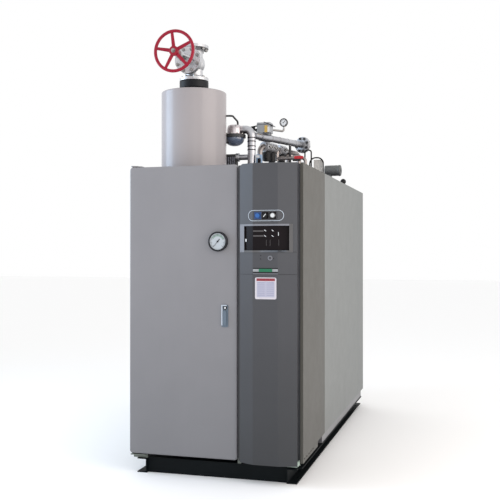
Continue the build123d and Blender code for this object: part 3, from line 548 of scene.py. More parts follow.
def under_shade():
    """Group: painted shade and a painted reflection of a dark floor on bright metal, darker where the surface
    looks down.
    """
    inputs = {"Color": (0.6, 0.6, 0.6, 1.0), "Amount": 0.7}
    tree, given, taken = group(under_shade, inputs, ("Color",))
    facing_up = height_of(tree, tree.nodes.new("ShaderNodeNewGeometry").outputs["Normal"])
    ragged_share = 0.3
    ragged = plus(tree, facing_up, times(tree, noise(tree, scale=30.0), ragged_share))
    mask = times(tree, between(tree, ragged, -0.85, 0.25, 1.0, 0.0), given["Amount"])
    put(tree, taken["Color"], mix(tree, mask, given["Color"], FLOOR_SHADE))
    return tree


# Materials

# Lowest height and colours of the painted shade that darkens sheets towards the bottom
SHADE_LOW = DOOR_LOW[2]
PALE_SHADE = (54, 60, 64)
BLACK_SHADE = (18, 22, 26)
COAT_ROUGHNESS = 0.14
PEEL_DEPTH = 0.0006
TEXTURE_DEPTH = 0.0004
TEXTURE_STRENGTH = 0.03
PLASTIC_MOTTLE = 0.03
CAST_DEPTH = 0.0012
DENT_DEPTH = 0.002


def material(name, **plain):
    """New material, its tree and its Principled shader, whose plain inputs are set."""
    made = bpy.data.materials.new(name)
    made.use_nodes = True
    tree = made.node_tree
    shader = tree.nodes["Principled BSDF"]
    for label, value in plain.items():
        shader.inputs[label.replace("_", " ")].default_value = value
    return made, tree, shader


def surface(tree, shader, colour, roughness, height, strength, depth):
    """Feed a shader's colour and roughness, and raise the surface by a height through a Bump node."""
    put(tree, shader.inputs["Base Color"], colour)
    put(tree, shader.inputs["Roughness"], roughness)
    raised = node(tree, "ShaderNodeBump", Height=height, Strength=strength, Distance=depth)
    put(tree, shader.inputs["Normal"], raised.outputs[0])


def opaque(colour):
    """Colour with full alpha."""
    return (*colour[:3], 1.0)


def painted(name, colour, roughness=0.42, mottle=0.05, peel=0.05, coat=0.0, shine=0.5, grime=0.0,
            low=SHADE_LOW, reach=1.2, shade_colour=PALE_SHADE):
    """Painted sheet: a paint film, with painted shade from the height low up through reach if asked for."""
    made, tree, shader = material(name, Coat_Weight=coat, Coat_Roughness=COAT_ROUGHNESS,
                                  Specular_IOR_Level=shine)
    film = use(tree, paint_film, Color=opaque(colour), Mottle=mottle, Roughness=roughness)
    top = film["Color"]
    # painted shade: the colour darkens towards the bottom, where less light falls
    if grime:
        shaded = use(tree, low_grime, Color=top, Grime=opaque(linear(*shade_colour)), Low=low, High=low + reach,
                    Amount=grime)
        top = shaded["Color"]
    surface(tree, shader, top, film["Roughness"], film["Height"], peel, PEEL_DEPTH)
    return made


def cast(name, colour, roughness, metal, depth, dirt):
    """Casting under a thin paint: a grainy skin, darker and rougher in its hollows."""
    made, tree, shader = material(name, Metallic=metal)
    skin = use(tree, cast_grain)
    deep_share, rough_share = 0.35, 0.2
    deep = tuple(deep_share * part for part in colour)
    shade = mix(tree, times(tree, skin["Hollow"], dirt), opaque(colour), opaque(deep))
    # painted shade: the casting is darker where it looks down
    shade = use(tree, under_shade, Color=shade)["Color"]
    rough = plus(tree, times(tree, skin["Hollow"], rough_share), roughness)
    surface(tree, shader, shade, rough, skin["Height"], depth, CAST_DEPTH)
    return made


def sheet_metal(name, colour, roughness, depth):
    """Bright sheet or bar: rolling lines and dull patches."""
    made, tree, shader = material(name, Metallic=1.0)
    skin = use(tree, rolled_sheet, Color=opaque(colour), Roughness=roughness)
    # painted shade and painted floor reflection: the sheet is darker where it looks down
    shade = use(tree, under_shade, Color=skin["Color"])["Color"]
    surface(tree, shader, shade, skin["Roughness"], skin["Height"], depth, DENT_DEPTH)
    return made


def moulded(name, colour, roughness=0.35, coat=0.0, shine=0.5):
    """Moulded plastic: an even colour with a fine texture."""
    made, tree, shader = material(name, Coat_Weight=coat, Specular_IOR_Level=shine)
    film = use(tree, paint_film, Color=opaque(colour), Mottle=PLASTIC_MOTTLE, Roughness=roughness)
    surface(tree, shader, film["Color"], film["Roughness"], film["Height"], TEXTURE_STRENGTH, TEXTURE_DEPTH)
    return made


CLADDING = (sheet_metal, dict(roughness=0.3, depth=0.12))
BRIGHT_BAR = (sheet_metal, dict(roughness=0.34, depth=0.05))
PLAIN_PAINT = (painted, {})
PLAIN_PLASTIC = (moulded, {})
# The door, the side panels, the column and the chassis brackets get painted shade that darkens them towards
# the bottom
FINISH_KINDS = {
    "cabinet_grey": (painted, dict(roughness=0.44, mottle=0.035, coat=0.1, grime=0.32, reach=1.7)),
    "panel_warm_grey": (painted, dict(roughness=0.5, mottle=0.018, grime=0.14)),
    "panel_light_grey": (painted, dict(roughness=0.5, mottle=0.015, grime=0.08)),
    "column_grey": (painted, dict(roughness=0.4, mottle=0.03, coat=0.2, grime=0.72, reach=1.35,
                                  shade_colour=BLACK_SHADE)),
    "base_black": (painted, dict(roughness=0.6, mottle=0.25, peel=0.15, shine=0.12)),
    "flange_black": (painted, dict(roughness=0.5, mottle=0.25, peel=0.15, shine=0.25)),
    "chassis_green": (painted, dict(roughness=0.5, mottle=0.08, peel=0.08, grime=0.2, low=0.1, reach=1.1)),
    "tank_grey": (painted, dict(roughness=0.36, mottle=0.03, peel=0.03, coat=0.22, shine=0.35)),
    "wheel_red": (painted, dict(roughness=0.4, mottle=0.12, peel=0.1, shine=0.3)),
    "bowl_blue": (painted, dict(roughness=0.18, mottle=0.08, coat=0.9)),
    "box_grey": PLAIN_PAINT,
    "hook_green": PLAIN_PAINT,
    "latch_face": PLAIN_PAINT,
    "lip_silver": PLAIN_PAINT,
    "frame_grey": PLAIN_PAINT,
    "edge_grey": PLAIN_PAINT,
    "valve_silver": (cast, dict(roughness=0.32, metal=0.75, depth=0.3, dirt=0.2)),
    "motor_grey": (cast, dict(roughness=0.45, metal=0.2, depth=0.1, dirt=0.15)),
    "dark_iron": (cast, dict(roughness=0.55, metal=0.3, depth=0.5, dirt=0.5)),
    "flange_steel": (cast, dict(roughness=0.5, metal=0.35, depth=0.12, dirt=0.25)),
    "pipe_silver": CLADDING,
    "latch_chrome": CLADDING,
    "dome_pink": CLADDING,
    "stem_steel": BRIGHT_BAR,
    "brass": BRIGHT_BAR,
    "lever_red": (moulded, dict(roughness=0.4)),
    "window_dark": (moulded, dict(roughness=0.2, shine=0.08)),
    "black_plastic": (moulded, dict(roughness=0.5, shine=0.25)),
    "lamp_white": (moulded, dict(roughness=0.25, coat=0.4)),
}
# CAD nodes with another finish than the one of their record slot
NODE_FINISHES = {
    "left_rear_panel": "panel_light_grey", "right_rear_panel": "panel_light_grey",
    "back_panel": "panel_light_grey", "column_foot": "base_black", "junction_box": "box_grey",
    "small_gauge": "stem_steel", "fuel_valve_coils": "black_plastic", "deck_motor": "motor_grey",
    "door_latch": "latch_face", "latch_lever": "latch_face",
}


def finish_of(finish):
    """Material of a finish, made once, in the colour that the user's finishes give it."""
    name = "boiler_" + finish
    if name in bpy.data.materials:
        return bpy.data.materials[name]
    maker, settings = FINISH_KINDS.get(finish, PLAIN_PLASTIC)
    return maker(name, tuple(getattr(bpy.context.scene.boiler_finishes, finish)), **settings)


class BoilerPiece:
    """What the operators share."""
    bl_options = {"REGISTER", "UNDO"}

    def execute(self, context):
        """Build the pieces of this operator."""
        self.build(context.scene)
        return {"FINISHED"}


class BOILER_OT_finishes(BoilerPiece, bpy.types.Operator):
    """Put the finishes on the CAD nodes"""
    bl_idname = "boiler.finishes"
    bl_label = "Finishes"

    def build(self, scene):
        """Give each CAD node the material of its slot, or its own finish where it has one."""
        for part in frame["record"]["subparts"]:
            finish = finish_of(NODE_FINISHES.get(part["node"], part["material_slot"]))
            piece = frame["nodes"][part["node"]]
            if not piece.material_slots:
                piece.data.materials.append(finish)
            for place in piece.material_slots:
                place.material = finish


# Front pieces: the control column's front has a facet at each side of a flat middle

LEFT_FACET, RIGHT_FACET = 0.099, 0.122
LEFT_PROUD, RIGHT_PROUD = 0.030, 0.040
COLUMN_FRONT = COLUMN_LOW[1]
MIDDLE_LEFT, MIDDLE_RIGHT = COLUMN_LOW[0] + LEFT_FACET, COLUMN_HIGH[0] - RIGHT_FACET
COLUMN_MIDDLE = (MIDDLE_LEFT + MIDDLE_RIGHT) / 2
COLUMN_EDGES = np.array((COLUMN_LOW[0], MIDDLE_LEFT, MIDDLE_RIGHT, COLUMN_HIGH[0]))
COLUMN_FACES = np.array((DOOR_LOW[1] - LEFT_PROUD, COLUMN_FRONT, COLUMN_FRONT, DOOR_LOW[1] - RIGHT_PROUD))
STRIP_LEVEL = WINDOW_LOW[2] - 0.1305
CARD_LEVEL = WINDOW_LOW[2] - 0.248


def column_face(x):
    """How far forward the column's faceted front stands at x."""
    return np.interp(x, COLUMN_EDGES, COLUMN_FACES)


def wrapped(left, right, low, high, proud, under=0.0015):
    """Strip whose plan runs along the column's facets at proud, then back a little under them."""
    inside = COLUMN_EDGES[(COLUMN_EDGES > left) & (COLUMN_EDGES < right)]
    x = np.concatenate(([left], inside, [right]))
    plan = np.stack((x, column_face(x)), -1)
    strips = []
    for near, far in zip(plan[:-1], plan[1:]):
        outline = (near - (0, proud), far - (0, proud), far + (0, under), near + (0, under))
        strips += prism(outline, X_AXIS, Y_AXIS, Z_AXIS * low, Z_AXIS * high)
    return strips


def surround(centre, half, hole, front, back, count=48):
    """Square plate with a round hole: r = half / max(|cos a|, |sin a|) outside, r = hole inside."""
    out = around(X_AXIS, Z_AXIS, count, np.pi / 4)
    inner = np.full(count, hole)
    outer = half / np.abs(out).max(1)
    rows = []
    for reach, y in ((inner, front), (outer, front), (outer, back), (inner, back)):
        rows.append(np.array((centre[0], y, centre[2])) + out * reach[:, None])
    return [(np.concatenate(rows), grid_quads(4, count, close_rows=True))]


def dial_mark(centre, face, angle, near, far, width):
    """Thin bar on a dial from radius near to radius far at an angle."""
    under, height = 0.0002, 0.0007
    along = math.cos(angle) * X_AXIS + math.sin(angle) * Z_AXIS
    half = width / 2
    outline = ((near, -half), (far, -half), (far, half), (near, half))
    foot = np.array((centre[0], face + under, centre[2]))
    return prism(outline, along, np.cross(along, Y_AXIS), foot, foot - Y_AXIS * height)


def dial_band(centre, face, sweep, near, far):
    """Thin band on a dial: a flat section between two radii, carried through a sweep of angles."""
    turn = np.linspace(*sweep, 33)[:, None]
    out = np.cos(turn) * X_AXIS + np.sin(turn) * Z_AXIS
    origin = np.array((centre[0], face, centre[2]))
    under, proud = 0.0002, 0.0004
    section = ((near, under), (far, under), (far, -proud), (near, -proud))
    return capped(np.stack([origin + radius * out + lift * Y_AXIS for radius, lift in section], 1))


class BoilerFront(bpy.types.PropertyGroup):
    """Sizes of the pieces on the door, the control column and the casing."""
    tick_count: count_of("Ticks", "Fine ticks on the door gauge", 41, 11)
    bezel_radius: metres("Bezel radius", "Thickness radius of the gauge's rim", 0.0045)
    needle_angle: angle_of("Needle", "Needle's turn from straight up, clockwise", 220)
    frame_strip: metres("Bay frame", "Width of the frame round the display bay", 0.012)
    seam_height: metres("Seam", "Height of the seams across the column", 0.0022)
    card_band: metres("Card band", "Height of the band along the card's top", 0.017)
    back_screws: count_of("Back screws", "Screws along each edge of a back leaf", 7, 2)
    strip_screws: count_of("Strip screws", "Screws along each deck strip", 9, 2)


class BOILER_OT_door_gauge(BoilerPiece, bpy.types.Operator):
    """Rim, dial marks and needle of the gauge on the door"""
    bl_idname = "boiler.door_gauge"
    bl_label = "Door gauge"
    tick_sweep = np.radians((225, -45))
    band_sweep = np.radians((150, 20))

    def build(self, scene):
        """Marks lie on the dial, the needle over them; reaches are shares of the case's radius."""
        sizes = scene.boiler_front
        centre, radius = middle("door_gauge_case"), half_width("door_gauge_case")
        face, front = corner("door_gauge_dial")[0][1], corner("door_gauge_case")[0][1]
        bezel = sizes.bezel_radius
        rim = round_rim((centre[0], front + bezel, centre[2]), radius - bezel, thickness=bezel, count=63)
        solid("gauge_rim", rim, "black_plastic", "rim_black", "door")
        band = dial_band(centre, face, self.band_sweep, near=radius * 0.52, far=radius * 0.72)
        solid("gauge_band", band, "dial_white", "band_green", "door")
        long_every, long_near, short_near, tick_far = 5, 0.60, 0.68, 0.76
        long_width, short_width = 0.0019, 0.0009
        marks = []
        for index, angle in enumerate(np.linspace(*self.tick_sweep, sizes.tick_count)):
            near, width = (short_near, short_width) if index % long_every else (long_near, long_width)
            marks += dial_mark(centre, face, angle, near=radius * near, far=radius * tick_far, width=width)
        solid("gauge_marks", marks, "black_plastic", body="door")
        heading = math.pi / 2 - sizes.needle_angle
        tip, tail = 0.66, 0.34
        lifted = face - 0.0012
        needle = dial_mark(centre, lifted, heading, near=0, far=radius * tip, width=0.0024)
        needle += dial_mark(centre, lifted, heading, near=-radius * tail, far=0, width=0.0052)
        needle += disc((centre[0], face, centre[2]), -Y_AXIS, radius=0.006, height=0.003, edge=0.0008,
                       segments=24)
        solid("gauge_needle", needle, "black_plastic", body="door")


class BOILER_OT_latch_lock(BoilerPiece, bpy.types.Operator):
    """Key lock and the lip of the door latch, painted bright as a highlight"""
    bl_idname = "boiler.latch_lock"
    bl_label = "Latch lock"

    def build(self, scene):
        """A ring with a bright barrel above the lever, and a lip along the plate's left and top, painted
        bright as a highlight.
        """
        low, high = corner("door_latch")
        front = low[1]
        aside, drop, under = 0.004, 0.020, 0.001
        lock = np.array(((low[0] + high[0]) / 2 + aside, front + under, high[2] - drop))
        ring = disc(lock, -Y_AXIS, radius=0.0125, height=0.003, edge=0.001, segments=36)
        solid("latch_ring", ring, "window_dark", body="door")
        barrel = disc(lock, -Y_AXIS, radius=0.0068, height=0.005, edge=0.001, segments=32)
        solid("latch_barrel", barrel, "latch_chrome", "lamp_white", "door")
        slot_half, slot_front, slot_depth, slot_reach = 0.0007, front - 0.0044, 0.001, 0.0036
        slot = facing(lock[0] - slot_half, lock[0] + slot_half, lock[2] - slot_reach, lock[2] + slot_reach,
                      slot_front, proud=0, under=slot_depth)
        solid("latch_key_slot", slot, "black_plastic", body="door")
        # the lip's bright colour is a painted highlight on the plate's left and top edges
        left, lip_proud, lip_under = low[0] + 0.001, 0.004, 0.006
        lip = facing(left, low[0] + 0.0082, low[2] + 0.012, high[2] - 0.006, front, proud=lip_proud,
                     under=lip_under)
        lip += facing(left, high[0] - 0.008, high[2] - 0.007, high[2] - 0.0005, front, proud=lip_proud,
                      under=lip_under)
        solid("latch_lip", lip, "latch_chrome", "lip_silver", "door", bevel=0.0015)


class BOILER_OT_column_panel(BoilerPiece, bpy.types.Operator):
    """Frame, keys, strip, card and seams on the control column"""
    bl_idname = "boiler.column_panel"
    bl_label = "Column panel"
    seam_drops = (0.012, 0.158)
    stud_places = ((0.120, -0.034), (0.120, -0.056), (0.207, -0.053))
    knob_place = (0.184, -0.050)

    def build(self, scene):
        """Everything follows the column's facets; places are measured from the window's lower left."""
        sizes = scene.boiler_front
        self.control_ring()
        self.control_plates()
        self.bay(sizes.frame_strip)
        self.display()
        self.strip()
        self.card(sizes.card_band)
        self.selector()
        self.hook()
        self.seams(sizes.seam_height)
        self.knob()

    def on_front(self, place):
        """Place on the column's front, a little under it, from a place beside the window's lower left."""
        under = 0.0005
        return np.array((WINDOW_LOW[0] + place[0], COLUMN_FRONT + under, WINDOW_LOW[2] + place[1]))

    def control_ring(self):
        """Pale stadium line round the controls: a thin tube that bends over the facets."""
        low, high = corner("control_plate")
        beside_left, beside_right, above = 0.038, 0.040, 0.004
        left, right = low[0] - beside_left, high[0] + beside_right
        half = (high[2] - low[2]) / 2 + above
        z = (high[2] + low[2]) / 2
        arc = np.linspace(-np.pi / 2, np.pi / 2, 17)
        right_arc = np.stack((right - half + half * np.cos(arc), z + half * np.sin(arc)), -1)
        left_arc = np.stack((left + half - half * np.cos(arc), z - half * np.sin(arc)), -1)
        run = np.linspace(right - half, left + half, 24)[1:-1]
        top = np.stack((run, np.full_like(run, z + half)), -1)
        bottom = np.stack((run[::-1], np.full_like(run, z - half)), -1)
        x, z = np.concatenate((right_arc, top, left_arc, bottom)).T
        proud, thickness = 0.001, 0.002
        path = np.stack((x, column_face(x) - proud, z), -1)
        solid("control_ring", ring_tube(path, thickness, 8), "latch_chrome", "lip_silver")

    def control_plates(self):
        """Square plates under the button, the selector and the lamp, and a ring round the lamp."""
        face = corner("control_plate")[0][1]
        proud, lamp_proud, under = 0.0008, 0.0006, 0.001
        field = surround(middle("push_button"), half=0.024, hole=0.0156, front=face - proud,
                         back=face + under)
        solid("button_field", field, "button_blue", "field_blue")
        dark = surround(middle("selector_knob"), half=0.023, hole=0.0176, front=face - proud,
                        back=face + under)
        dark += surround(middle("pilot_lamp"), half=0.023, hole=0.0172, front=face - lamp_proud,
                         back=face + under)
        solid("control_fields", dark, "black_plastic", "window_dark")
        x, _, z = middle("pilot_lamp")
        inside, behind = 0.0012, 0.0028
        ring = round_rim((x, corner("pilot_lamp")[0][1] + behind, z), half_width("pilot_lamp") - inside,
                         thickness=0.0024, count=40, sides=10)
        solid("lamp_ring", ring, "grey_plastic", "motor_grey")

    def bay(self, strip):
        """Raised frame round the display window: a left and top in a paler grey as a painted highlight, a
        right and bottom in a dimmer grey as painted shade.
        """
        low, high = WINDOW_LOW, WINDOW_HIGH
        proud = 0.004
        left, right = COLUMN_LOW[0] + 0.002, high[0] + 0.022
        # left and top of the frame: paler grey, a painted highlight
        pale = wrapped(left, high[0], high[2], high[2] + strip, proud=proud)
        pale += wrapped(left, low[0], low[2] - strip, high[2], proud=proud)
        solid("bay_frame", pale, "column_grey", "frame_grey", sharp=20)
        # right and bottom of the frame: dimmer grey, painted shade
        dim = wrapped(low[0], right, low[2] - strip, low[2], proud=proud)
        dim += wrapped(high[0], right, low[2], high[2] + strip, proud=proud)
        solid("bay_edge", dim, "column_grey", "edge_grey", sharp=20)

    def display(self):
        """Pale slanted spots that are painted reflections of lamps, two pale bars, and dim bars and fine
        lines on the window's front.
        """
        x, y, z = WINDOW_LOW
        proud, dim_proud, under = 0.001, 0.0008, 0.0005
        # the four pale slanted spots are painted reflections of lamps on the glossy window
        slanted = ((-0.008, 0.005), (0.003, -0.005), (0.009, -0.005), (-0.002, 0.005))
        pale = []
        for up in (0.130, 0.094):
            for aside in (0.149, 0.199):
                key = np.array((x + aside, y, z + up))
                pale += prism(slanted, X_AXIS, Z_AXIS, key + Y_AXIS * under, key - Y_AXIS * proud)
        pale += facing(x + 0.2365, x + 0.2405, z + 0.096, z + 0.118, y, proud=proud, under=under)
        facet_depth = 0.0032
        pale += wrapped(x + 0.007, x + 0.017, z + 0.058, z + 0.076, proud=-facet_depth, under=0.0046)
        solid("window_keys", pale, "lamp_white")
        dim = []
        bar_half, line_half = 0.0045, 0.0012
        for up in (0.127, 0.095):
            dim += facing(x + 0.067, x + 0.139, z + up - bar_half, z + up + bar_half, y, proud=dim_proud,
                          under=under)
        for aside in (0.157, 0.183, 0.241):
            line = x + aside
            dim += facing(line - line_half, line + line_half, z + 0.030, z + 0.070, y, proud=dim_proud,
                          under=under)
        solid("window_bars", dim, "grey_plastic", "bar_grey")

    def strip(self):
        """Indicator strip: a silver bar with a green middle, between two dark lines, over a pale ledge."""
        left, right = MIDDLE_LEFT + 0.003, MIDDLE_RIGHT + 0.001
        bar_half, line_edge = 0.0085, 0.0155
        ledge_low, ledge_high = -0.025, -0.021

        def across(low, high, proud):
            """Bar over the strip's length between two heights from its middle."""
            return facing(left, right, STRIP_LEVEL + low, STRIP_LEVEL + high, COLUMN_FRONT, proud=proud)

        lines = across(-line_edge, -bar_half, proud=0.0015) + across(bar_half, line_edge, proud=0.0015)
        solid("strip_lines", lines, "black_plastic")
        solid("strip_bar", across(-bar_half, bar_half, proud=0.0025), "latch_chrome", "grey_plastic")
        solid("strip_ledge", across(ledge_low, ledge_high, proud=0.002), "column_grey", "frame_grey")
        origin = (COLUMN_MIDDLE + 0.0035, COLUMN_FRONT - 0.001, STRIP_LEVEL)
        lens = plate(rounded_rectangle(0.090, 0.020, radius=0.004), origin, X_AXIS, Z_AXIS, thickness=0.004)
        solid("strip_lens", lens, "button_blue", "lens_green")

    def card(self, band_height):
        """Pale card with a red band and ruled lines in two columns; its prints start inside the board."""
        x, y, z = COLUMN_MIDDLE + 0.004, COLUMN_FRONT, CARD_LEVEL
        width, height = 0.144, 0.142
        board = plate(rounded_rectangle(width, height, radius=0.010), (x, y, z), X_AXIS, Z_AXIS,
                      thickness=0.0016)
        solid("card_board", board, "dial_white", "card_edge")
        in_board = -0.001
        paper_half = 0.060
        paper = facing(x - paper_half, x + paper_half, z - 0.058, z + 0.044, y, proud=0.002, under=in_board)
        solid("card_paper", paper, "dial_white", "card_paper")
        top = z + height / 2 - 0.006
        band_half = width / 2 - 0.010
        band = facing(x - band_half, x + band_half, top - band_height, top, y, proud=0.0021,
                      under=in_board)
        solid("card_band", band, "lever_red", "card_red")
        first_rule, rule_step, rule_half, rule_reach, columns = 0.012, 0.0135, 0.0012, 0.024, 0.0305
        rules = []
        for line in range(7):
            at = top - band_height - first_rule - line * rule_step
            for centre in (x - columns, x + columns):
                rules += facing(centre - rule_reach, centre + rule_reach, at - rule_half, at + rule_half,
                                y, proud=0.0024, under=in_board)
        solid("card_rules", rules, "grey_plastic", "rule_blue")

    def selector(self):
        """Selector with a rounded edge and a white bar across its face, both turned with it."""
        low, high = corner("selector_knob")
        centre, radius = middle("selector_knob"), half_width("selector_knob")
        short = 0.001
        knob = disc((centre[0], high[1], centre[2]), -Y_AXIS, radius=radius,
                    height=high[1] - low[1] - short, edge=0.002, segments=40)
        solid("selector_body", knob, "black_plastic", body="selector", stands_for=("selector_knob",))
        reach = radius * 0.72
        bar = dial_mark(centre, low[1] + 0.0009, math.radians(50), near=-reach, far=reach, width=0.005)
        solid("selector_bar", bar, "lamp_white", body="selector")

    def hook(self):
        """Angle of pale sheet under the column's right end."""
        right, low = COLUMN_HIGH[0], COLUMN_LOW[2]
        front = column_face(right) + 0.004
        out, thickness, overlap = right + 0.0065, 0.006, 0.0004
        hook = box((right - 0.075, front, low - thickness), (out, front + 0.060, low + overlap))
        hook += box((right - overlap, front, low - thickness), (out, front + 0.045, low + 0.030))
        solid("column_hook", hook, "chassis_green", "hook_green")

    def seams(self, height):
        """Dark lines across the column between its covers."""
        inset, proud = 0.002, 0.0003
        seams = []
        for drop in self.seam_drops:
            level = WINDOW_LOW[2] - drop
            seams += wrapped(COLUMN_LOW[0] + inset, COLUMN_HIGH[0] - inset, level, level + height,
                             proud=proud)
        solid("column_seams", seams, "black_plastic")

    def knob(self):
        """Small knob in a ring under the window, and three dark studs beside it."""
        place = self.on_front(self.knob_place)
        ring = disc(place, -Y_AXIS, radius=0.0155, height=0.003, edge=0.0012, segments=32)
        solid("column_key_ring", ring, "column_grey", "frame_grey")
        knob = disc(place, -Y_AXIS, radius=0.0095, height=0.006, edge=0.0015, segments=28)
        solid("column_key", knob, "column_grey")
        studs = []
        for place in self.stud_places:
            studs += disc(self.on_front(place), -Y_AXIS, radius=0.0034, height=0.0022, edge=0.0006,
                          segments=16)
        solid("column_studs", studs, "black_plastic")


class BOILER_OT_casing_trim(BoilerPiece, bpy.types.Operator):
    """Seals, back leaves, deck strips and door ribs of the casing"""
    bl_idname = "boiler.casing_trim"
    bl_label = "Casing trim"
    screw = dict(radius=0.008, edge=0.0014, segments=20)

    def build(self, scene):
        """Plain sheet-metal trim, worked out from the boxes of what carries it."""
        sizes = scene.boiler_front
        self.seals()
        self.back(sizes.back_screws)
        self.deck(sizes.strip_screws)
        self.door_ribs()

    def seals(self):
        """Strips set back in the gaps on both sides of the column."""
        panel_low, _ = corner("right_front_panel")
        top = COLUMN_HIGH[2] - 0.004
        overlap = 0.002
        seals = box((DOOR_HIGH[0] + 0.005, DOOR_LOW[1] + 0.005, COLUMN_LOW[2]),
                    (COLUMN_LOW[0] + overlap, DOOR_HIGH[1], top))
        seals += box((COLUMN_HIGH[0] - overlap, panel_low[1] + 0.004, COLUMN_LOW[2] + 0.010),
                     (panel_low[0] + 0.001, panel_low[1] + 0.034, top))
        solid("column_seals", seals, "column_grey", bevel=0.003)

    def back(self, screw_count):
        """Two leaves on the back panel, each with turned screws along its edges."""
        low, high = corner("back_panel")
        gap, border, screw_inset, screw_span = 0.006, 0.030, 0.022, 0.47
        width = (high[0] - low[0]) / 2 - border - gap / 2
        height = high[2] - low[2] - 2 * border
        leaves, screws = [], []
        for side in (-1, 1):
            centre = np.array((side * (gap + width) / 2, high[1] - 0.0005, (low[2] + high[2]) / 2))
            leaves += plate(rounded_rectangle(width, height, radius=0.012), centre, X_AXIS, Z_AXIS,
                            thickness=-0.0035)
            for edge in (-1, 1):
                for share in np.linspace(-screw_span, screw_span, screw_count):
                    seat = centre + (edge * (width / 2 - screw_inset), 0.0030, share * height)
                    screws += disc(seat, Y_AXIS, height=0.0036, **self.screw)
        solid("back_leaves", leaves, "panel_warm_grey", "panel_light_grey", bevel=0.001)
        solid("back_screws", screws, "stem_steel")

    def deck(self, screw_count):
        """Cover strips with screws across the deck: at two thirds of its depth and along its rear."""
        half, inset, screw_inset, under, proud = 0.022, 0.004, 0.06, 0.0005, 0.0025
        left, right = DECK_LOW[0], DECK_HIGH[0]
        joint = DECK_LOW[1] + (DECK_HIGH[1] - DECK_LOW[1]) * 2 / 3
        strips, screws = [], []
        for y in (joint, DECK_HIGH[1] - 0.040):
            strips += box((left + inset, y - half, DECK_TOP - under),
                          (right - inset, y + half, DECK_TOP + proud))
            for x in np.linspace(left + screw_inset, right - screw_inset, screw_count):
                screws += disc((x, y, DECK_TOP + 0.002), Z_AXIS, height=0.0040, **self.screw)
        solid("deck_strips", strips, "cabinet_grey", bevel=0.0008)
        solid("deck_screws", screws, "stem_steel")

    def door_ribs(self):
        """Three hat-shaped ribs across the inside of the door."""
        inset = 0.03
        left, right = corner("front_post_left")[1][0] + inset, corner("front_post_right")[0][0] - inset
        brim, foot, crown, sheet, height = 0.045, 0.026, 0.020, 0.002, 0.014
        half = ((brim, 0.0), (brim, sheet), (foot, sheet), (crown, height))
        hat = [(-across, up) for across, up in half] + list(reversed(half))
        ribs = []
        for share in (0.2, 0.5, 0.8):
            z = DOOR_LOW[2] + share * (DOOR_HIGH[2] - DOOR_LOW[2])
            inside = DOOR_HIGH[1] - 0.0004
            ribs += prism(hat, Z_AXIS, Y_AXIS, (left, inside, z), (right, inside, z))
        solid("door_ribs", ribs, "cabinet_grey", body="door")


# Pieces on top: stop valve, handwheel, pipework and deck fittings

HEADER_FLANGE = 0.065
HEADER_HEADING = np.array((0.3580, 0.9337))
POST_SETBACK = 1.089
RISER_RADIUS = 0.030
TRAIN_PIPE, TRAIN_BODY = 0.021, 0.040
TRAIN_BODY_SHARES = (0.16, 0.29, 0.53)
HALF_STEP = math.radians(22.5)


def header_line():
    """Ends of the header's axis: in the riser, and at the outer face of its flange."""
    riser_low, riser_high = corner("riser_pipe")
    _, high = corner("header_pipe")
    level = high[2] - HEADER_FLANGE
    root = np.array((riser_high[0] - RISER_RADIUS, (riser_low[1] + riser_high[1]) / 2, level))
    end = np.array((*(high[:2] - HEADER_FLANGE * HEADER_HEADING[::-1]), level))
    return root, end


def train_line():
    """Ends of the fuel train's level run, over the middles of its two legs."""
    low, high = corner("fuel_train")
    level = high[2] - TRAIN_BODY
    body_past_leg = 0.0004
    start = np.array((low[0] + TRAIN_PIPE + body_past_leg, low[1] + TRAIN_PIPE, level))
    end = np.array((high[0] - TRAIN_PIPE, high[1] - TRAIN_PIPE, level))
    return start, end


class BoilerTop(bpy.types.PropertyGroup):
    """Sizes of the pieces above the deck."""
    spoke_width: metres("Spoke width", "Width of the handwheel's spokes at the hub", 0.027)
    hub_radius: metres("Hub radius", "Radius of the handwheel's hub", 0.033)
    rim_radius: metres("Rim radius", "Thickness radius of the handwheel's rim", 0.011)
    flange_bolt: metres("Flange bolt", "Thread of the bolts in the valve's flanges", 0.014)
    trap_bolts: count_of("Trap bolts", "Bolts round the rim of the trap", 10, 4)
    band_height: metres("Band height", "Height of the dark bands round the riser", 0.007)


class BOILER_OT_handwheel(BoilerPiece, bpy.types.Operator):
    """Red handwheel with five tapered spokes"""
    bl_idname = "boiler.handwheel"
    bl_label = "Handwheel"
    spoke_count = 5
    first_spoke = math.radians(97)

    def build(self, scene):
        """A round rim, flat tapered spokes, and a hub with a nut."""
        sizes = scene.boiler_top
        centre = middle("handwheel")
        mean = half_width("handwheel") - sizes.rim_radius
        wheel = round_rim(centre, mean, thickness=sizes.rim_radius, count=96, sides=20)
        for angle in circle(self.spoke_count, self.first_spoke):
            wheel += self.spoke(centre, angle, mean, sizes.spoke_width)
        face, outer = 0.024, sizes.hub_radius
        hub = [(0, -0.015), (face, -0.015), (outer, -0.010), (outer, 0.012), (face, 0.016), (0, 0.016)]
        wheel += lathe(centre, -Y_AXIS, hub, segments=40)
        solid("red_handwheel", wheel, "wheel_red", body="handwheel", stands_for=("handwheel",))
        front = centre - Y_AXIS * 0.0155
        nut = rod(front, front - Y_AXIS * 0.002, radius=0.0155, segments=28)
        nut += hexagon_bar(front, -Y_AXIS, across=0.022, height=0.013)
        nut += rod(front, front - Y_AXIS * 0.019, radius=0.0078, segments=20, edge=0.0012)
        solid("wheel_nut", nut, "stem_steel", body="handwheel")

    def spoke(self, centre, angle, reach, width):
        """Flat bar from hub to rim: its width falls by a quarter and its section is a squared ellipse."""
        along = math.cos(angle) * X_AXIS + math.sin(angle) * Z_AXIS
        across = np.cross(along, Y_AXIS)
        root, taper, half_depth, squareness = 0.018, 0.26, 0.0065, 0.6
        run = np.linspace(root, reach, 9)
        half = width / 2 * (1 - taper * (run - root) / (reach - root))
        turn = circle(16)
        wide = np.sign(np.cos(turn)) * np.abs(np.cos(turn)) ** squareness
        deep = half_depth * np.sin(turn)[:, None] * Y_AXIS
        middle_line = centre + run[:, None] * along
        return capped(middle_line[:, None] + (half[:, None] * wide)[..., None] * across + deep)


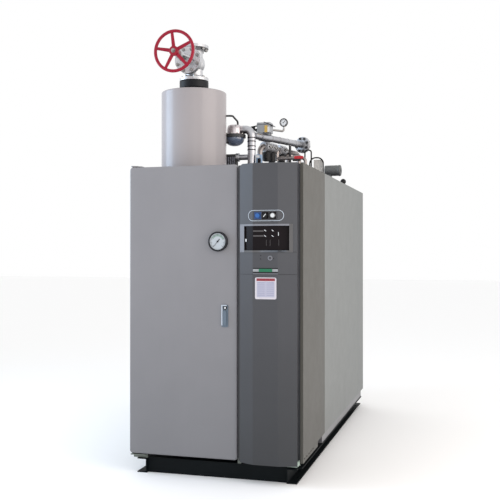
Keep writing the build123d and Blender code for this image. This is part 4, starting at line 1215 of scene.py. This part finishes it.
class BOILER_OT_valve_bolts(BoilerPiece, bpy.types.Operator):
    """Bolts and nuts of the stop valve's three flanges"""
    bl_idname = "boiler.valve_bolts"
    bl_label = "Valve bolts"

    def build(self, scene):
        """Eight bolts on each line flange and eight on the bonnet."""
        thread = scene.boiler_top.flange_bolt
        low, high = corner("valve_body")
        outlet_low, outlet_high = corner("outlet_flange")
        x, y, _ = middle("outlet_flange")
        low_flange, top_flange, bonnet_flange, nut_inset = 0.018, 0.020, 0.016, 0.004
        line_radius, bonnet_radius, count = 0.0875, 0.080, 8
        bolting = dict(count=count, thread=thread, turn=HALF_STEP)
        nuts = bolts((x, y, outlet_high[2] + low_flange), Z_AXIS, radius=line_radius, **bolting)
        nuts += bolts((x, y, high[2] - top_flange), -Z_AXIS, radius=line_radius, **bolting)
        solid("valve_line_nuts", nuts, "stem_steel")
        dark = []
        for seat in ring_places((x, y, outlet_low[2] + nut_inset), -Z_AXIS, line_radius, count, HALF_STEP):
            dark += hexagon_bar(seat, -Z_AXIS, across=0.023, height=0.012)
        solid("outlet_nuts", dark, "flange_black")
        x, _, z = middle("valve_bonnet")
        nuts = bolts((x, low[1] - bonnet_flange, z), -Y_AXIS, radius=bonnet_radius, **bolting)
        solid("bonnet_nuts", nuts, "stem_steel")


class BOILER_OT_riser(BoilerPiece, bpy.types.Operator):
    """Bands on the riser and the parts of the trap"""
    bl_idname = "boiler.riser"
    bl_label = "Riser and trap"
    band_levels = (0.281, 0.254, 0.218, 0.191)

    def build(self, scene):
        """Bands and a foot round the clad riser, and a sleeve with two collars from the feed valve to it."""
        sizes = scene.boiler_top
        low, high = corner("riser_pipe")
        radius = (high[1] - low[1]) / 2
        x, y = high[0] - radius, (low[1] + high[1]) / 2
        bands = []
        for level in self.band_levels:
            start = (x, y, DECK_TOP + level - sizes.band_height / 2)
            bands += disc(start, Z_AXIS, radius=radius + 0.0022, height=sizes.band_height, edge=0.0015)
        solid("riser_bands", bands, "window_dark")
        solid("riser_foot", disc((x, y, DECK_TOP), Z_AXIS, radius=radius + 0.022, height=0.010,
                                 edge=0.003), "pipe_silver")
        self.trap(sizes.trap_bolts, y, low[0])
        feed_low, feed_high = corner("feed_valve")
        left, level = feed_low[0], feed_high[2] - 0.022
        sleeve = rod((left + 0.070, y, level), (x - radius + 0.004, y, level), radius=0.0210, segments=28)
        solid("feed_sleeve", sleeve, "latch_chrome", "pipe_silver")
        collars = []
        for reach in (0.072, 0.086):
            collars += disc((left + reach, y, level), X_AXIS, radius=0.0320, height=0.011, edge=0.002,
                            segments=36)
        solid("feed_collar", collars, "latch_chrome")

    def trap(self, bolt_count, y, nozzle_end):
        """Dome, rim and bowl as thin shells over the CAD; the bowl is r = R (1 - (z/D)^p)^(1/p) turned."""
        low, high = corner("trap_body")
        rim_radius, bowl_drop = 0.084, 0.084
        centre = np.array((high[0] - rim_radius, y, low[2] + bowl_drop))
        side, top = 0.0568, 0.0716
        shoulder = [(side, 0.0345), (0.0558, 0.046), (0.0520, 0.059), (0.0472, 0.067), (0.0428, 0.0710)]
        dome = [(0, 0), (side, 0), *shoulder, (0.036, top), (0, top)]
        solid("trap_dome", lathe(centre, Z_AXIS, dome), "pipe_silver", "dome_pink")
        level, inside_dome, overlap = DECK_TOP + 0.344, 0.04, 0.002
        nozzle = rod((centre[0] + inside_dome, y, level), (nozzle_end + overlap, y, level), radius=0.0306,
                     segments=36)
        solid("trap_nozzle", nozzle, "pipe_silver", "dome_pink")
        rim = disc(centre + Z_AXIS * 0.0008, -Z_AXIS, radius=0.0848, height=0.0256, edge=0.003, segments=56)
        solid("trap_rim", rim, "dark_iron")
        solid("trap_nuts", bolts(centre, Z_AXIS, radius=0.071, count=bolt_count, thread=0.008),
              "stem_steel")
        bowl_radius, bowl_depth, under, exponent = 0.0755, 0.0608, 0.024, 2.2
        turn = np.linspace(0, np.pi / 2, 15)
        reach = bowl_radius * np.sin(turn) ** (2 / exponent)
        height = -under - bowl_depth * np.cos(turn) ** (2 / exponent)
        bowl = np.concatenate((np.stack((reach, height), -1), [(0, -under)]))
        solid("trap_bowl", lathe(centre, Z_AXIS, bowl, segments=56), "dark_iron", "bowl_blue")


class BOILER_OT_deck_gauge(BoilerPiece, bpy.types.Operator):
    """Dial and rim of the small gauge above the header"""
    bl_idname = "boiler.deck_gauge"
    bl_label = "Deck gauge"
    tick_angles = np.radians(np.linspace(225, -45, 9))
    needle_angle = math.radians(50)

    def build(self, scene):
        """A white dial in a grey rim with a few marks and a needle; reaches are shares of its radius."""
        _, high = corner("small_gauge")
        radius, face_behind, rim_inset = 0.032, 0.0162, 0.003
        face = high[1] - face_behind
        centre = np.array((high[0] - radius, face, high[2] - radius))
        dial = disc(centre + Y_AXIS * 0.001, -Y_AXIS, radius=radius * 0.86, height=0.0016, edge=0.0004)
        solid("deck_gauge_dial", dial, "dial_white", "lamp_white")
        solid("deck_gauge_rim", round_rim(centre, radius - rim_inset, thickness=0.0042, count=48),
              "dark_iron")
        mark_face, needle_face = face - 0.0008, face - 0.0014
        marks = []
        for angle in self.tick_angles:
            marks += dial_mark(centre, mark_face, angle, near=radius * 0.6, far=radius * 0.78, width=0.002)
        marks += dial_mark(centre, needle_face, self.needle_angle, near=-radius * 0.25, far=radius * 0.62,
                           width=0.0034)
        solid("deck_gauge_marks", marks, "black_plastic")


class BOILER_OT_actuator(BoilerPiece, bpy.types.Operator):
    """Lid, screws and indicator of the actuator on the header"""
    bl_idname = "boiler.actuator"
    bl_label = "Actuator"

    def build(self, scene):
        """A seam goes round under the lid, and a flap leans over its right, with a yellow indicator."""
        low, high = corner("actuator_box")
        width, depth, _ = high - low
        right, front, top = high[0], low[1], high[2]
        proud = 0.003
        seam_origin = ((low[0] + right) / 2, (front + high[1]) / 2, top - 0.016)
        outline = rounded_rectangle(width + proud, depth + proud, radius=0.008)
        solid("actuator_seam", plate(outline, seam_origin, X_AXIS, Y_AXIS, thickness=0.003), "dark_iron")
        overhang = 0.004
        ridge = np.array((right - 0.048, front - overhang, top + 0.001))
        slope, across = np.array((0.064, 0, -0.026)), Y_AXIS * (depth + 2 * overhang)
        flap = prism(((0, 0), (1, 0), (1, 1), (0, 1)), slope, across, ridge, ridge + (0.001, 0, 0.004))
        solid("actuator_flap", flap, "dark_iron")
        base, tag_right, plate_right = low[2] + 0.003, right - 0.019, right - 0.005
        tag = facing(right - 0.042, tag_right, base, top - 0.024, front, proud=0.0025)
        solid("actuator_indicator", tag, "brass", "indicator_yellow")
        pale = facing(tag_right, plate_right, base, top - 0.034, front, proud=0.002)
        solid("actuator_plate", pale, "lamp_white")
        inset = 0.010
        screws = []
        for y in (front + inset, high[1] - inset):
            screws += disc((low[0] + inset, y, top - 0.001), Z_AXIS, radius=0.0042, height=0.0028,
                           edge=0.0008, segments=14)
        solid("actuator_screws", screws, "stem_steel")


class BOILER_OT_header_bolts(BoilerPiece, bpy.types.Operator):
    """Bolts and bands along the header"""
    bl_idname = "boiler.header_bolts"
    bl_label = "Header"
    band_shares = (0.36, 0.52, 0.68, 0.84)

    def build(self, scene):
        """A dull skin on the flange with nuts on both its faces, and bands on the cladding."""
        root, end = header_line()
        run = unit(end - root)
        flange_thickness = 0.0268
        face = end - run * flange_thickness
        flange = disc(face, run, radius=HEADER_FLANGE + 0.0006, height=0.0276, edge=0.003, segments=56)
        flange += disc(face, -run, radius=0.042, height=0.004, edge=0.001, segments=44)
        solid("header_flange", flange, "pipe_silver", "flange_steel")
        bolt_circle = dict(radius=0.053, count=8, thread=0.011, turn=0.3)
        nuts = bolts(face, -run, **bolt_circle) + bolts(end, run, stub=False, **bolt_circle)
        solid("header_nuts", nuts, "dark_iron")
        bands = []
        for share in self.band_shares:
            bands += disc(root + (face - root) * share, run, radius=0.0266, height=0.010, edge=0.001,
                          segments=36)
        solid("header_bands", bands, "pipe_silver", "flange_steel")


class BOILER_OT_fuel_fittings(BoilerPiece, bpy.types.Operator):
    """Caps, unions, nuts and feet of the fuel train"""
    bl_idname = "boiler.fuel_fittings"
    bl_label = "Fuel fittings"
    union_shares = (0.092, 0.225, 0.362, 0.462, 0.60)

    def build(self, scene):
        """Caps under the coils, six-sided unions between the valve bodies, and feet on the deck."""
        self.coil_caps()
        start, end = train_line()
        run = unit(end - start)
        union_half = 0.009
        nuts, feet = [], []
        for share in self.union_shares:
            centre = start + (end - start) * share
            nuts += hexagon_bar(centre - run * union_half, run, across=0.062, height=2 * union_half)
        solid("train_unions", nuts, "stem_steel", "valve_silver")
        for x, y, _ in (start, end):
            feet += disc((x, y, DECK_TOP), Z_AXIS, radius=0.036, height=0.006, edge=0.002)
        solid("train_feet", feet, "stem_steel", "flange_steel")
        self.bodies(start, end)

    def coil_caps(self):
        """Round cap and plug socket on each coil, spaced as the valve bodies are."""
        low, high = corner("fuel_valve_coils")
        coil_radius, base = 0.031, low[2]
        first, last = low[:2] + coil_radius, high[:2] - coil_radius
        shares = np.array(TRAIN_BODY_SHARES)
        caps = []
        for share in (shares - shares[0]) / (shares[-1] - shares[0]):
            x, y = first + (last - first) * share
            caps += disc((x, y, base + 0.004), -Z_AXIS, radius=0.026, height=0.012, edge=0.004, segments=32)
            caps += box((x - 0.012, y - 0.046, base + 0.012), (x + 0.012, y - 0.026, base + 0.044))
        solid("coil_caps", caps, "black_plastic", bevel=0.001)

    def bodies(self, start, end):
        """Silver skins and plugs of the three valve bodies."""
        run = unit(end - start)
        side = np.cross(run, Z_AXIS)
        skin_half, plug_aside = 0.0384, 0.022
        bodies, plugs = [], []
        for share in TRAIN_BODY_SHARES:
            centre = start + (end - start) * share
            bodies += disc(centre - run * skin_half, run, radius=TRAIN_BODY + 0.0008, height=2 * skin_half,
                           edge=0.0006)
            for aside in (-plug_aside, plug_aside):
                plugs += hexagon_bar(centre + run * aside + side * 0.037, side, across=0.015, height=0.012)
            plugs += disc(centre + side * 0.036, side, radius=0.014, height=0.010, edge=0.003, segments=24)
        solid("train_bodies", bodies, "valve_silver")
        solid("train_plugs", plugs, "stem_steel")


class BOILER_OT_deck_fittings(BoilerPiece, bpy.types.Operator):
    """Sleeve of the header's post, plug of the pilot coil, ribs of the motor and fins of the feed block"""
    bl_idname = "boiler.deck_fittings"
    bl_label = "Deck fittings"

    def build(self, scene):
        """Each group sits on its own CAD node."""
        root, end = header_line()
        post = root + (end - root) * (DOOR_LOW[1] + POST_SETBACK - root[1]) / (end[1] - root[1])
        top = end[2] + HEADER_FLANGE - 0.090
        solid("post_sleeve", rod((*post[:2], DECK_TOP), (*post[:2], top), radius=0.0098), "dark_iron")
        low, high = corner("pilot_coil")
        front = low[1]
        plug = facing(low[0] + 0.018, high[0] - 0.002, low[2] + 0.020, high[2] - 0.030, front, proud=0.014)
        solid("pilot_plug", plug, "black_plastic", "window_dark", bevel=0.002)
        tag = facing(low[0] + 0.004, high[0] - 0.012, high[2] - 0.024, high[2] - 0.006, front, proud=0.001)
        solid("pilot_tag", tag, "lamp_white")
        low, high = corner("deck_motor")
        radius = (high[1] - low[1]) / 2
        y, z = (low[1] + high[1]) / 2, high[2] - radius
        cover_length, cover_edge = 0.030, 0.012
        cover = disc((high[0] - cover_length, y, z), X_AXIS, radius=radius + 0.003, height=cover_length,
                     edge=cover_edge, segments=48)
        solid("motor_cover", cover, "dark_iron", "motor_grey")
        ribs = []
        for x in np.linspace(low[0] + 0.014, high[0] - cover_length - cover_edge, 9):
            ribs += disc((x, y, z), X_AXIS, radius=radius + 0.002, height=0.0035, edge=0.001, segments=48)
        solid("motor_ribs", ribs, "dark_iron", "motor_grey")
        low, high = corner("feed_valve")
        fin_width, fin_step = 0.0036, 0.015
        fins = []
        for x in low[0] + 0.004 + fin_step * np.arange(5):
            fins += facing(x, x + fin_width, low[2] + 0.022, high[2] - 0.020, low[1], proud=0.0015)
        solid("feed_fins", fins, "dark_iron", "fin_blue")


# Stage

FLOOR_HALF = 40.0
FLOOR_ROUGHNESS = 0.75
SENSOR_WIDTH = 36.0
LIGHTS = {
    "left": dict(place=(-4.2, -2.1, 2.7), target=(-0.3, -1.1, 2.1), size=(2.3, 2.4), colour=(0.6, 0.78, 1)),
    "right": dict(place=(4.6, -2.2, 2.6), target=(0.3, -0.4, 1.4), size=(5.0, 3.0), colour=(1, 0.89, 0.82)),
    "front": dict(place=(2.6, -7.6, 2.6), target=(0.4, -1.4, 1.5), size=(1.8, 2.4), colour=(1, 1, 1)),
}


def power(name, description, default):
    """Power property of a light."""
    return FloatProperty(name=name, description=description, unit="POWER", default=default, min=0)


class BoilerStage(bpy.types.PropertyGroup):
    """Floor, lights and camera."""
    floor_tone: tint("Floor", "Colour of the floor", 250, 250, 250)
    sky_strength: FloatProperty(name="Sky", description="Strength of the surround", default=1.0, min=0)
    left_power: power("Left light", "Cool light on the left", 116)
    right_power: power("Right light", "Warm light on the right", 120)
    front_power: power("Front light", "Neutral light in front", 14)
    camera_right: metres("Camera right", "Camera's distance to the right of the door's left edge", 2.334)
    camera_away: metres("Camera away", "Camera's distance in front of the door's face", 5.160)
    camera_height: metres("Camera height", "Camera's height above the floor", 1.524)
    camera_turn: angle_of("Turn", "Camera's turn to the left", 15.83)
    camera_tilt: angle_of("Tilt", "Camera's tilt upwards", 0.225)
    camera_lens: FloatProperty(name="Lens", description="Focal length", default=57.97, unit="CAMERA")


class BOILER_OT_stage(BoilerPiece, bpy.types.Operator):
    """Set the floor, the lights and the camera"""
    bl_idname = "boiler.stage"
    bl_label = "Stage"

    def build(self, scene):
        """Pale floor, white surround, soft lights, and the camera where the photograph was taken."""
        stage = scene.boiler_stage
        self.floor(scene, stage.floor_tone)
        self.sky(scene, stage.sky_strength)
        for name, setting in LIGHTS.items():
            self.light(scene, name + "_light", getattr(stage, name + "_power"), **setting)
        self.camera(scene, stage)
        scene.view_settings.view_transform = "Standard"

    def floor(self, scene, tone):
        """Wide square under the boiler."""
        corners = [(-FLOOR_HALF, -FLOOR_HALF, 0), (FLOOR_HALF, -FLOOR_HALF, 0), (FLOOR_HALF, FLOOR_HALF, 0),
                   (-FLOOR_HALF, FLOOR_HALF, 0)]
        mesh = bpy.data.meshes.new("floor")
        mesh.from_pydata(corners, [], [(0, 1, 2, 3)])
        finish, _, _ = material("studio_floor", Roughness=FLOOR_ROUGHNESS, Base_Color=opaque(tone))
        mesh.materials.append(finish)
        floor = bpy.data.objects.new("floor", mesh)
        scene.collection.objects.link(floor)

    def sky(self, scene, strength):
        """White light from all around."""
        world = bpy.data.worlds.new("studio")
        world.use_nodes = True
        background = world.node_tree.nodes["Background"]
        background.inputs["Color"].default_value = (1, 1, 1, 1)
        background.inputs["Strength"].default_value = strength
        scene.world = world

    def light(self, scene, name, energy, place, target, size, colour):
        """Area light at a place, turned to a target."""
        lamp = bpy.data.lights.new(name, "AREA")
        lamp.shape = "RECTANGLE"
        lamp.size, lamp.size_y = size
        lamp.energy = energy
        lamp.color = colour
        made = bpy.data.objects.new(name, lamp)
        made.location = place
        made.rotation_euler = (Vector(target) - Vector(place)).to_track_quat("-Z", "Y").to_euler()
        scene.collection.objects.link(made)

    def camera(self, scene, stage):
        """Camera at a standing eye height in front of the column, turned a little to the left."""
        view = bpy.data.cameras.new("camera")
        view.sensor_width = SENSOR_WIDTH
        view.lens = stage.camera_lens
        camera = bpy.data.objects.new("camera", view)
        x, y = DOOR_LOW[0] + stage.camera_right, DOOR_LOW[1] - stage.camera_away
        camera.location = (x, y, stage.camera_height)
        camera.rotation_euler = (math.pi / 2 + stage.camera_tilt, 0, stage.camera_turn)
        scene.collection.objects.link(camera)
        scene.camera = camera


class BOILER_PT_sidebar(bpy.types.Panel):
    """Panel with the operators and their values"""
    bl_label = "Steam boiler"
    bl_idname = "BOILER_PT_sidebar"
    bl_space_type = "VIEW_3D"
    bl_region_type = "UI"
    bl_category = "Boiler"

    def draw(self, context):
        """One button for each operator, then the properties."""
        layout = self.layout
        for operator in OPERATORS:
            layout.operator(operator.bl_idname)
        for name, values in PROPERTIES.items():
            column = layout.column()
            for value in values.__annotations__:
                column.prop(getattr(context.scene, name), value)


PROPERTIES = {"boiler_finishes": BoilerFinishes, "boiler_front": BoilerFront, "boiler_top": BoilerTop,
              "boiler_stage": BoilerStage}
OPERATORS = (
    BOILER_OT_finishes, BOILER_OT_door_gauge, BOILER_OT_latch_lock, BOILER_OT_column_panel,
    BOILER_OT_casing_trim, BOILER_OT_handwheel, BOILER_OT_valve_bolts, BOILER_OT_riser, BOILER_OT_deck_gauge,
    BOILER_OT_actuator, BOILER_OT_header_bolts, BOILER_OT_fuel_fittings, BOILER_OT_deck_fittings,
    BOILER_OT_stage,
)
CLASSES = (*PROPERTIES.values(), *OPERATORS, BOILER_PT_sidebar)


def register():
    """Register the classes and hang the values on the scene."""
    for made in CLASSES:
        bpy.utils.register_class(made)
    for name, values in PROPERTIES.items():
        setattr(bpy.types.Scene, name, PointerProperty(type=values))


def unregister():
    """Take the values and the classes away."""
    for name in PROPERTIES:
        delattr(bpy.types.Scene, name)
    for made in reversed(CLASSES):
        bpy.utils.unregister_class(made)


def main():
    """Build everything in order."""
    register()
    for operator in OPERATORS:
        space, name = operator.bl_idname.split(".")
        getattr(getattr(bpy.ops, space), name)()


if __name__ == "__main__":
    main()
